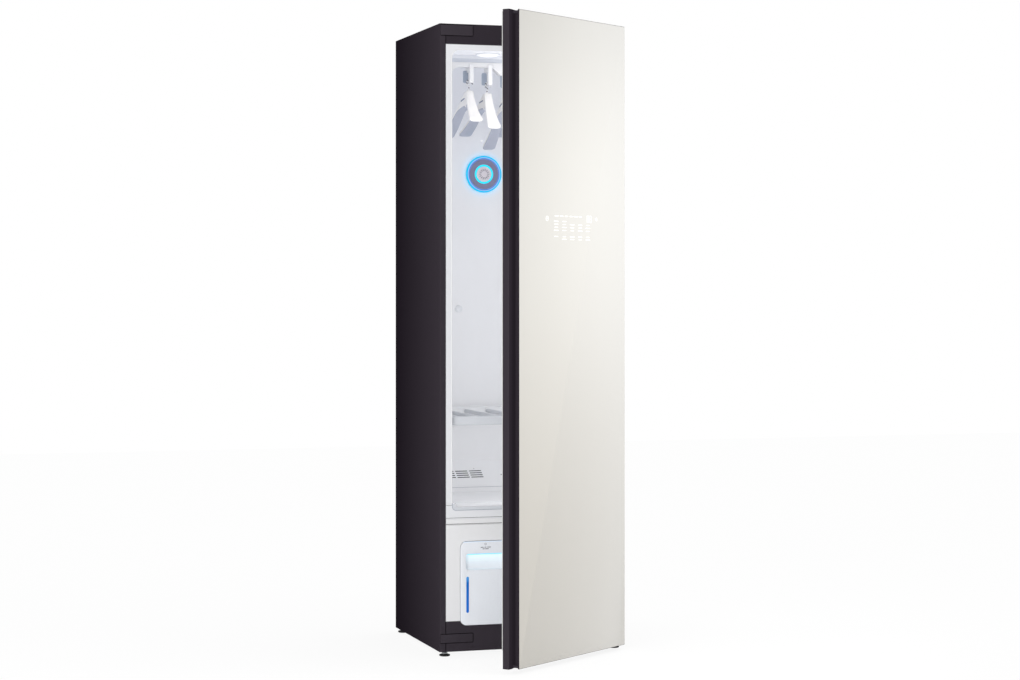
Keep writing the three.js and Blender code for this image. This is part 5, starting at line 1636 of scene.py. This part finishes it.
@dataclass
class HangingGear:
    """The guide, the shaking rail, its hook seats, the twisted hooks and the hangers."""

    pitch: float = 63.0
    depth: float = 265.0
    rail_foot: float = 1853.7
    drop: float = 51.0
    step: float = 6.0
    rise: float = 1.8
    arch: float = 9.0
    wire: float = 2.5
    bends: tuple[Point2, ...] = ((-9.0, -6.0), (0.0, -11.0), (-1.0, -17.0), (-6.0, -24.0))
    aside: float = 6.0
    neck: float = 28.0
    half: float = 200.0
    fall: float = 115.0
    bend: float = 30.0
    neck_size: Point2 = (25.0, 58.0)
    tip_size: Point2 = (43.0, 11.0)
    neck_share: float = 0.42
    level: float = 0.06
    round_tip: float = 9.0
    shares: tuple[float, ...] = (0.03, 0.06, 0.09, 0.13, 0.17, 0.21, 0.26, 0.31, 0.36, 0.42, 0.5, 0.58, 0.66,
                                 0.74, 0.82, 0.9, 0.955, 0.965, 0.975, 0.984, 0.991, 0.996, 1.0)
    yaws: tuple[float, ...] = (-2.6, -2.6, -5.0, -2.6, -2.6)
    tilts: tuple[float, ...] = (4.0, 0.0, 12.0, 0.0, 0.0)
    count: int = 5

    def off_middle(self, index: int) -> float:
        """Gives how many holders a holder is from the middle one."""
        return index - (self.count - 1) / 2

    def seat(self, index: int) -> float:
        """Gives the lower end of a holder's posts."""
        return self.rail_foot - self.drop - self.step * ((self.count - 1) / 2 - abs(self.off_middle(index)))

    def set_out(self, index: int) -> Matrix:
        """Gives the middle of a hook's arch in the drawing, with the tilt on the hook."""
        place = Vector((self.off_middle(index) * self.pitch, self.depth, self.seat(index) + self.rise))
        return Matrix.Translation(place) @ Matrix.Rotation(math.radians(-self.tilts[index]), 4, "X")

    def hook_path(self) -> list[Vector]:
        """Draws a hook about the middle of its arch.

        Returns:
            The path from the free tip to the hanger's neck.
        """
        r = self.arch
        path = [Vector((r, 0, -7.0 + 7.0 * k / 5)) for k in range(5)]
        path += [Vector((p.x, 0, p.y)) for p in arc((0, 0), r, 0, 180, 24)]
        corners = [Vector((x, 0, z)) for x, z in self.bends]
        for k in range(15):
            t = k / 14
            weights = ((1 - t) ** 3, 3 * t * (1 - t) ** 2, 3 * t * t * (1 - t), t ** 3)
            path.append(sum((c * w for c, w in zip(corners, weights)), Vector()))
        path.append(Vector((-self.aside, 0, -self.neck + 0.5)))
        return path

    def hook(self, index: int) -> None:
        """Makes one hook from two wires laid about each other, and the ferrule that it ends in.

        Args:
            index: Which hanger it carries, from the left.
        """
        path = self.hook_path()
        lobes = []
        for k in range(16):
            turn = 2 * math.pi * k / 16
            reach = self.wire * (0.8 + 0.35 * math.cos(2 * turn))
            lobes.append(Vector((math.cos(turn) * reach, math.sin(turn) * reach)))
        scales = [0.55, 0.9] + [1.0] * (len(path) - 2)
        form = Form(CHROME).sweep(path, lobes, Vector((0, 1, 0)), twist=6.0, scales=scales)
        profile = ((0, -1), (5.6, -1), (5.6, 0.6), (4.4, 2.4), (3.2, 3.4), (0, 3.4))
        ferrule = [(radius, -self.neck + rise) for radius, rise in profile]
        form.switch(HANGER).lathe(ferrule, (-self.aside, 0, 0), Facing.TOP, 28)
        form.piece(f"twisted_hook_{index + 1}", f"hanger_{index + 1}", replaces=[f"hanger_hook_{index + 1}"],
                   turn=self.set_out(index))

    def middle(self, share: float) -> float:
        """Gives how far the arm has bent to the left at a share of its half length."""
        return self.bend * share ** 0.8

    def half_width(self, share: float) -> float:
        """Gives half the arm's width, which widens to the tip and is rounded off there.

        Args:
            share: The share of the hanger's half length.

        Returns:
            Half the width.
        """
        half = (self.neck_size[0] + (self.tip_size[0] - self.neck_size[0]) * share ** 1.3) / 2
        short = max(0.0, self.round_tip - (1 - share) * self.half)
        return half - self.round_tip + math.sqrt(max(self.round_tip ** 2 - short ** 2, 0.01))

    def section(self, along: float) -> list[Vector]:
        """Draws the hanger's section at a share of its half length.

        Args:
            along: From -1 at the front tip to 1 at the rear tip.

        Returns:
            The section's points: a crowned top over a flatter foot.
        """
        share = abs(along)
        run = max(0.0, share - self.level) / (1 - self.level)
        top = -self.neck - self.fall * (1.4 * run - 0.4 * run * run)
        swell = max(0.0, 1 - share / self.neck_share) ** 1.5
        tall = self.tip_size[1] + (self.neck_size[1] - self.tip_size[1]) * swell
        half, middle = self.half_width(share), top - tall / 2
        edge = min(tall * 0.3, 5.0)
        points = []
        for p in rounded(-half, middle - tall / 2, half, top, edge, 5):
            crown = 1.2 * (1 - (p.x / half) ** 2) if p.y > middle else 0.0
            points.append(Vector((p.x - self.middle(share), along * self.half, p.y + crown - 0.6)))
        return points

    def side_slot(self, form: Form, side: int) -> None:
        """Adds the slot in the flank of a hanger's neck, as a grey-blue patch of painted shade.

        Args:
            form: The form that it is added to.
            side: -1 for the left flank and 1 for the right one.
        """
        rings = []
        for out in (0.5, -3.0):
            ring = []
            for p in rounded(10, -2.2, 36, 2.2, 2.0, 4):
                share = p.x / self.half
                x = side * (self.half_width(share) + out) - self.middle(share)
                ring.append(Vector((x, p.x, -50.0 - 0.22 * (p.x - 10) + p.y)))
            rings.append(ring)
        form.skin(rings)

    def hanger(self, index: int) -> None:
        """Makes one hanger, with painted shade on its underside and the slots by its neck.

        Args:
            index: Which one, from the left.
        """
        stations = [-share for share in reversed(self.shares)] + [0.0, *self.shares]
        form = Form(HANGER).skin([self.section(along) for along in stations])
        form.mesh.normal_update()
        bmesh.ops.recalc_face_normals(form.mesh, faces=form.mesh.faces)
        # painted shade: faces that look down take the greyer white
        form.repaint(HANGER_SHADE, lambda face: face.normal.z < -0.35)
        form.switch(SLATE)
        for side in (-1, 1):
            self.side_slot(form, side)
        turn = self.set_out(index) @ Matrix.Rotation(math.radians(self.yaws[index]), 4, "Z")
        form.piece(f"moulded_hanger_{index + 1}", f"hanger_{index + 1}", replaces=[f"hanger_{index + 1}"],
                   turn=turn, crease=50)

    def seats(self) -> None:
        """Puts grey-blue strips in the holders where the hooks hang, with a paler plate at the rear post."""
        form = Form(SLATE)
        for index in range(self.count):
            x, foot = self.off_middle(index) * self.pitch, self.seat(index)
            form.switch(SLATE).plate((x - 5.6, foot + 1, x + 5.6, 1837), 1.5, 253.0, 253.6, steps=3)
            form.switch(SEAT_PLATE).plate((x - 19.0, foot + 1, x - 1.5, foot + 41), 4.5, 275.6, 277.2, 0.3, 4)
        form.piece("hook_seat_grey_strips", "hanger_rail")

    def build(self) -> None:
        """Builds the gear."""
        dress(ANODISED, "rail_guide", soften=0.5)
        dress(ANODISED, "drive_crank")
        dress(RAIL, "hanger_rail", soften=1.0)
        self.seats()
        for index in range(self.count):
            self.hook(index)
            self.hanger(index)


@dataclass
class GarmentShelf:
    """The lift-out shelf: white rails and grey rods, with painted light on the back rail, sides and sockets."""

    half: float = 258.0
    foot: float = 715.0
    front: Point2 = (14.0, 28.0)
    back: Point2 = (484.0, 498.0)
    tall: Point2 = (28.0, 31.0)
    side_width: float = 10.0
    rods: int = 7
    rod_radius: float = 7.0
    rod_start: float = 25.0
    rod_length: float = 462.0
    rod_pitch: float = 74.0
    axis: float = 732.0

    def build(self) -> None:
        """Builds the shelf."""
        form = Form(SHELF)
        z0 = self.foot
        # painted light: the back rail, and after it the sides and sockets, take the paler white
        for (y0, y1), tall, finish in zip((self.front, self.back), self.tall, (SHELF, SHELF_LIT)):
            rail = rounded(y0, z0, y1, z0 + tall, 4.5)
            form.switch(finish).prism(rail, -self.half, self.half, Facing.SIDE, 2.5)
        for side in (-1, 1):
            x0, x1 = sorted((side * self.half, side * (self.half - self.side_width)))
            form.plate((x0, z0 + 0.6, x1, z0 + 27.4), 3.0, self.front[0] + 4, self.back[1] - 4, 1.5)
        rods = [(k - (self.rods - 1) / 2) * self.rod_pitch for k in range(self.rods)]
        for x in rods:
            for y, out in ((self.front[1], 3.0), (self.back[0], -3.0)):
                socket = [(0, -out), (9.5, -out), (9.5, out * 0.3), (7.4, out), (0, out)]
                form.lathe(socket, (x, y, self.axis), Facing.FRONT, 32)
        form.switch(RODS)
        r, length = self.rod_radius, self.rod_length
        rod = [(0, 0), (r, 0), (r, length), (0, length)]
        for x in rods:
            form.lathe(rod, (x, self.rod_start, self.axis), Facing.FRONT, 32)
        form.piece("shelf_rails_and_rods", "garment_shelf", replaces=["garment_shelf"])


@dataclass
class WaterTank:
    """The front of one water tank: its skin, lit recess, window and marks."""

    name: str
    centre: float
    half: float = 82.0
    foot: float = 95.0
    top: float = 355.0
    corner: float = 20.0
    front: float = -2.0
    grip: tuple[float, float, float] = (64.0, 266.0, 316.0)
    grip_corner: float = 8.0
    recess_rings: tuple[Point2, ...] = ((0.1, -0.4), (0.3, 3.0), (1.0, 6.2), (3.0, 8.2), (6.0, 8.8))
    window: tuple[float, float, float, float] = (-63.5, 133.5, -55.0, 246.0)
    ring_place: float = 345.5
    lines: tuple[Point3, ...] = ((-16, -6, 335.6), (-4, 3, 335.6), (5, 17, 335.6), (-10, -3, 330.6),
                                 (-1, 10, 330.6))

    def marks(self) -> None:
        """Makes the level window and plain marks: a ring over two broken lines."""
        c, y = self.centre - 1, self.front - 0.9
        form = Form(TANK_MARK)
        ring = (c, self.ring_place)
        form.prism(circle(ring, 3.4, 24), y, y + 0.4, Facing.FRONT, 0.05, hole=circle(ring, 2.4, 24))
        for u0, u1, z in self.lines:
            form.plate((c + u0, z - 1.1, c + u1, z + 1.1), 1.0, y, y + 0.4, 0.05, 3)
        u0, v0, u1, v1 = self.window
        box = (self.centre + u0, v0, self.centre + u1, v1)
        form.switch(WINDOW).plate(box, 4.2, self.front - 1.1, self.front + 0.5, 0.4, 8)
        form.piece(f"{self.name}_tank_marks", f"{self.name}_water_tank")

    def face(self, mouth: Sequence[Vector]) -> None:
        """Makes the tank's skin about the recess, with a painted highlight along its head.

        Args:
            mouth: The outline of the recess.
        """
        c, y, half, top = self.centre, self.front, self.half, self.top
        slab = rounded(c - half, self.foot, c + half, top, self.corner, 8)
        form = Form(TANK).prism(slab, y - 0.7, y + 3.0, Facing.FRONT, 1.6, hole=mouth)
        line = (c - half + 9, top - 2.7, c + half - 9, top - 0.5)
        # painted highlight: a glowing line along the tank's head
        form.switch(TANK_HIGHLIGHT).plate(line, 1.0, y - 0.9, y + 1.0, 0.2, 3)
        form.piece(f"{self.name}_tank_face", f"{self.name}_water_tank")

    def recess(self, mouth: Sequence[Vector]) -> None:
        """Makes the lit finger recess.

        Args:
            mouth: Its outline.
        """
        c, y = self.centre, self.front
        half, _, z1 = self.grip
        rings = [[Facing.FRONT.point(p.x, p.y, y + depth) for p in inset(mouth, back)]
                 for back, depth in self.recess_rings]
        form = Form(TANK_LIGHT).skin(rings, caps=False)
        form.lid(rings[-1])
        line = (c - half + 4, z1 - 2.4, c + half - 4, z1 - 0.5)
        form.switch(RECESS_LINE).plate(line, 0.9, y + 0.2, y + 7, 0.3, 3)
        form.piece(f"{self.name}_tank_recess", f"{self.name}_water_tank")

    def build(self) -> None:
        """Builds the tank's front."""
        dress(TANK, f"{self.name}_water_tank")
        half, z0, z1 = self.grip
        mouth = rounded(self.centre - half, z0, self.centre + half, z1, self.grip_corner, 8)
        self.face(mouth)
        self.recess(mouth)
        self.marks()


@dataclass
class Door:
    """The door's glass, touch panel, handle, seal and press, drawn with the door shut."""

    left: float = -278.0
    right: float = 300.0
    bottom: float = 15.0
    top: float = 1967.0
    front: float = -51.0
    glass: float = 4.5
    rail: tuple[float, float, float, float] = (-300.0, -29.0, -258.3, -6.0)
    seal_half: float = 269.0
    seal_foot: float = 70.0
    seal_top: float = 1920.0
    columns: tuple[float, ...] = (383.7, 340.1, 297.4, 253.4, 211.2)
    rows: tuple[float, ...] = (1344.2, 1335.0, 1325.9, 1316.7, 1298.1, 1290.0)
    head: tuple[Point2, ...] = ((391.8, 371.5), (364.7, 345.6), (337.3, 320.8), (311.2, 294.6), (289.1, 266.8),
                                (261.2, 244.4))
    head_line: float = 1360.2
    keys: tuple[Point3, ...] = ((432.0, 1351.6, 7.5), (163.8, 1354.3, 5.0))
    figures: Point2 = (216.0, 202.0)
    lip: tuple[Point2, ...] = ((-4.9, -2.4), (-4.6, 0.4), (-3.4, 2.0), (-1.2, 2.5), (1.6, 2.4), (3.8, 1.5),
                               (4.8, 0.0), (4.9, -2.4), (2.0, -2.5), (0.0, -1.6), (-2.0, -2.5))

    def pane(self) -> None:
        """Makes the pane with its ground edge."""
        outline = rounded(self.left, self.bottom, self.right, self.top, 2.2, 4)
        back = self.front + self.glass
        rings = [[Facing.FRONT.point(p.x, p.y, w) for p in inset(outline, amount)] for amount, w in
                 ((0.0, back), (0.0, self.front + 1.1), (0.35, self.front + 0.45), (1.1, self.front))]
        form = Form(GLASS_EDGE).skin(rings, caps=False)
        form.lid(rings[0])
        form.switch(GLASS).lid(rings[-1])
        form.piece("glass_pane", "door", Space.DOOR, replaces=["door_glass"])

    def touch_panel(self) -> None:
        """Prints plain marks where the touch panel shows through: bars, two rings and a figure."""
        form = Form(PRINT)
        run = self.front - 0.12, self.front + 0.1

        def bar(x0: float, x1: float, z: float, tall: float) -> None:
            """Adds one level bar, tall about z."""
            form.plate((x0, z - tall / 2, x1, z + tall / 2), tall * 0.3, *run, 0.0, 2)

        for near, far in self.head:
            bar(self.right - near, self.right - far, self.head_line, 2.6)
        for index, column in enumerate(self.columns):
            for row, z in enumerate(self.rows):
                if (row == 0 and index > 1) or (row == 5 and index == 0):
                    continue
                reach = 12.0 - 1.6 * ((row + index) % 3)
                bar(self.right - column - reach, self.right - column + reach, z, 2.2)
        for distance, z, radius in self.keys:
            centre = (self.right - distance, z)
            form.prism(circle(centre, radius, 28), *run, Facing.FRONT, hole=circle(centre, radius - 1.4, 28))
            form.prism(circle(centre, radius * 0.3, 16), *run, Facing.FRONT)
        for start in (self.right - distance for distance in self.figures):
            for z in (1344.3, 1354.0, 1363.7):
                bar(start, start + 10, z, 1.7)
            for x in (start, start + 10):
                form.plate((x - 0.85, 1345, x + 0.85, 1363), 0.6, *run, 0.0, 2)
        form.piece("touch_panel_marks", "door", Space.DOOR)

    def handle(self) -> None:
        """Makes the pocket handle's rail, hollow to the fingers, its end caps and the caps of the pocket."""
        x0, y0, x1, y1 = self.rail
        outline = [*arc((x0 + 3, y1 - 3), 3, 90, 180), *arc((x0 + 3, y0 + 3), 3, 180, 270),
                   *arc((x0 + 18, y0 + 5.5), 5.5, 270, 340), Vector((x1 - 2, y0 + 5.0)), Vector((x1, y0 + 6.4)),
                   Vector((x1, y1))]
        form = Form(GRIP).prism(outline, self.bottom + 2, self.top - 2, Facing.TOP)
        # painted shade: the rail's faces but its left edge, and its end caps, take the darker grip enamel
        form.repaint(GRIP_SHADE, lambda face: face.calc_center_median().x > x0 + 2.2)
        for z0, z1 in ((self.bottom, self.bottom + 2.2), (self.top - 2.2, self.top)):
            form.prism(inset(outline, -0.3), z0, z1, Facing.TOP, 0.5)
        form.switch(POCKET)
        cap = rounded(self.left + 1, self.front + self.glass + 0.2, x1 + 0.5, y0 + 6, 1.0, 3)
        for z0, z1 in ((self.bottom + 3, self.bottom + 10), (self.top - 11, self.top - 3.5)):
            form.prism(cap, z0, z1, Facing.TOP, 0.4)
        form.piece("handle_rail", "door", Space.DOOR, replaces=["door_handle_rail"])

    def seal(self) -> None:
        """Makes the seal: a soft lip on its foot, all round."""
        h, z0, z1 = self.seal_half - 5, self.seal_foot + 5, self.seal_top - 5
        path = [Vector((p.x, -3.2, p.y)) for p in rounded(-h, z0, h, z1, 7, 8)]
        section = [Vector(p) for p in self.lip]
        form = Form(SEAL).sweep(path, section, Vector((0, 1, 0)), closed=True)
        form.piece("soft_seal", "door", Space.DOOR, replaces=["door_gasket"])

    def edge_strip(self) -> None:
        """Makes the pale strip that shows down the door's free edge behind the handle."""
        outline = rounded(-299.2, -5.9, -286.0, -3.4, 1.1, 4)
        form = Form(SEAL).prism(outline, self.seal_foot, self.top - 6, Facing.TOP, 0.4)
        form.piece("free_edge_strip", "door", Space.DOOR)

    def inside(self) -> None:
        """Makes the screws of the inner cover."""
        form = Form(SCREW)
        for z in (40, 350, 700, 1560, 1850):
            for x in (-245, 268):
                form.screw((x, -6.0, z), Facing.FRONT, 1.6)
        form.piece("inner_cover_screws", "door", Space.DOOR)

    def build(self) -> None:
        """Builds the door."""
        dress(POCKET, "door_frame")
        dress(PANEL, "door_back_cover")
        dress(BOARD, "display_module")
        dress(PRESS, "press_board", soften=1.0)
        dress(FLAP, "press_flap", soften=0.8)
        self.pane()
        self.touch_panel()
        self.handle()
        self.seal()
        self.edge_strip()
        self.inside()


def dress_machines() -> None:
    """Finishes what works behind the panels."""
    dress(MACHINE, "compressor", "drive_motor")
    dress(DARK, "fan_housing", "fan_wheel", "control_box", "tank_sleeve")
    dress(COIL, "heat_exchanger", "steam_generator")
    dress(HOSE, "steam_hose")


def main() -> None:
    """Builds the room and the cabinet's parts in order."""
    logging.basicConfig(level=logging.INFO, format="%(message)s")
    Studio().build()
    SteelCase().build()
    Cavity().build()
    SteamOutlet().build()
    HangingGear().build()
    GarmentShelf().build()
    WaterTank("left", -152.0).build()
    WaterTank("right", 152.0).build()
    Door().build()
    dress_machines()


if __name__ == "__main__":
    main()
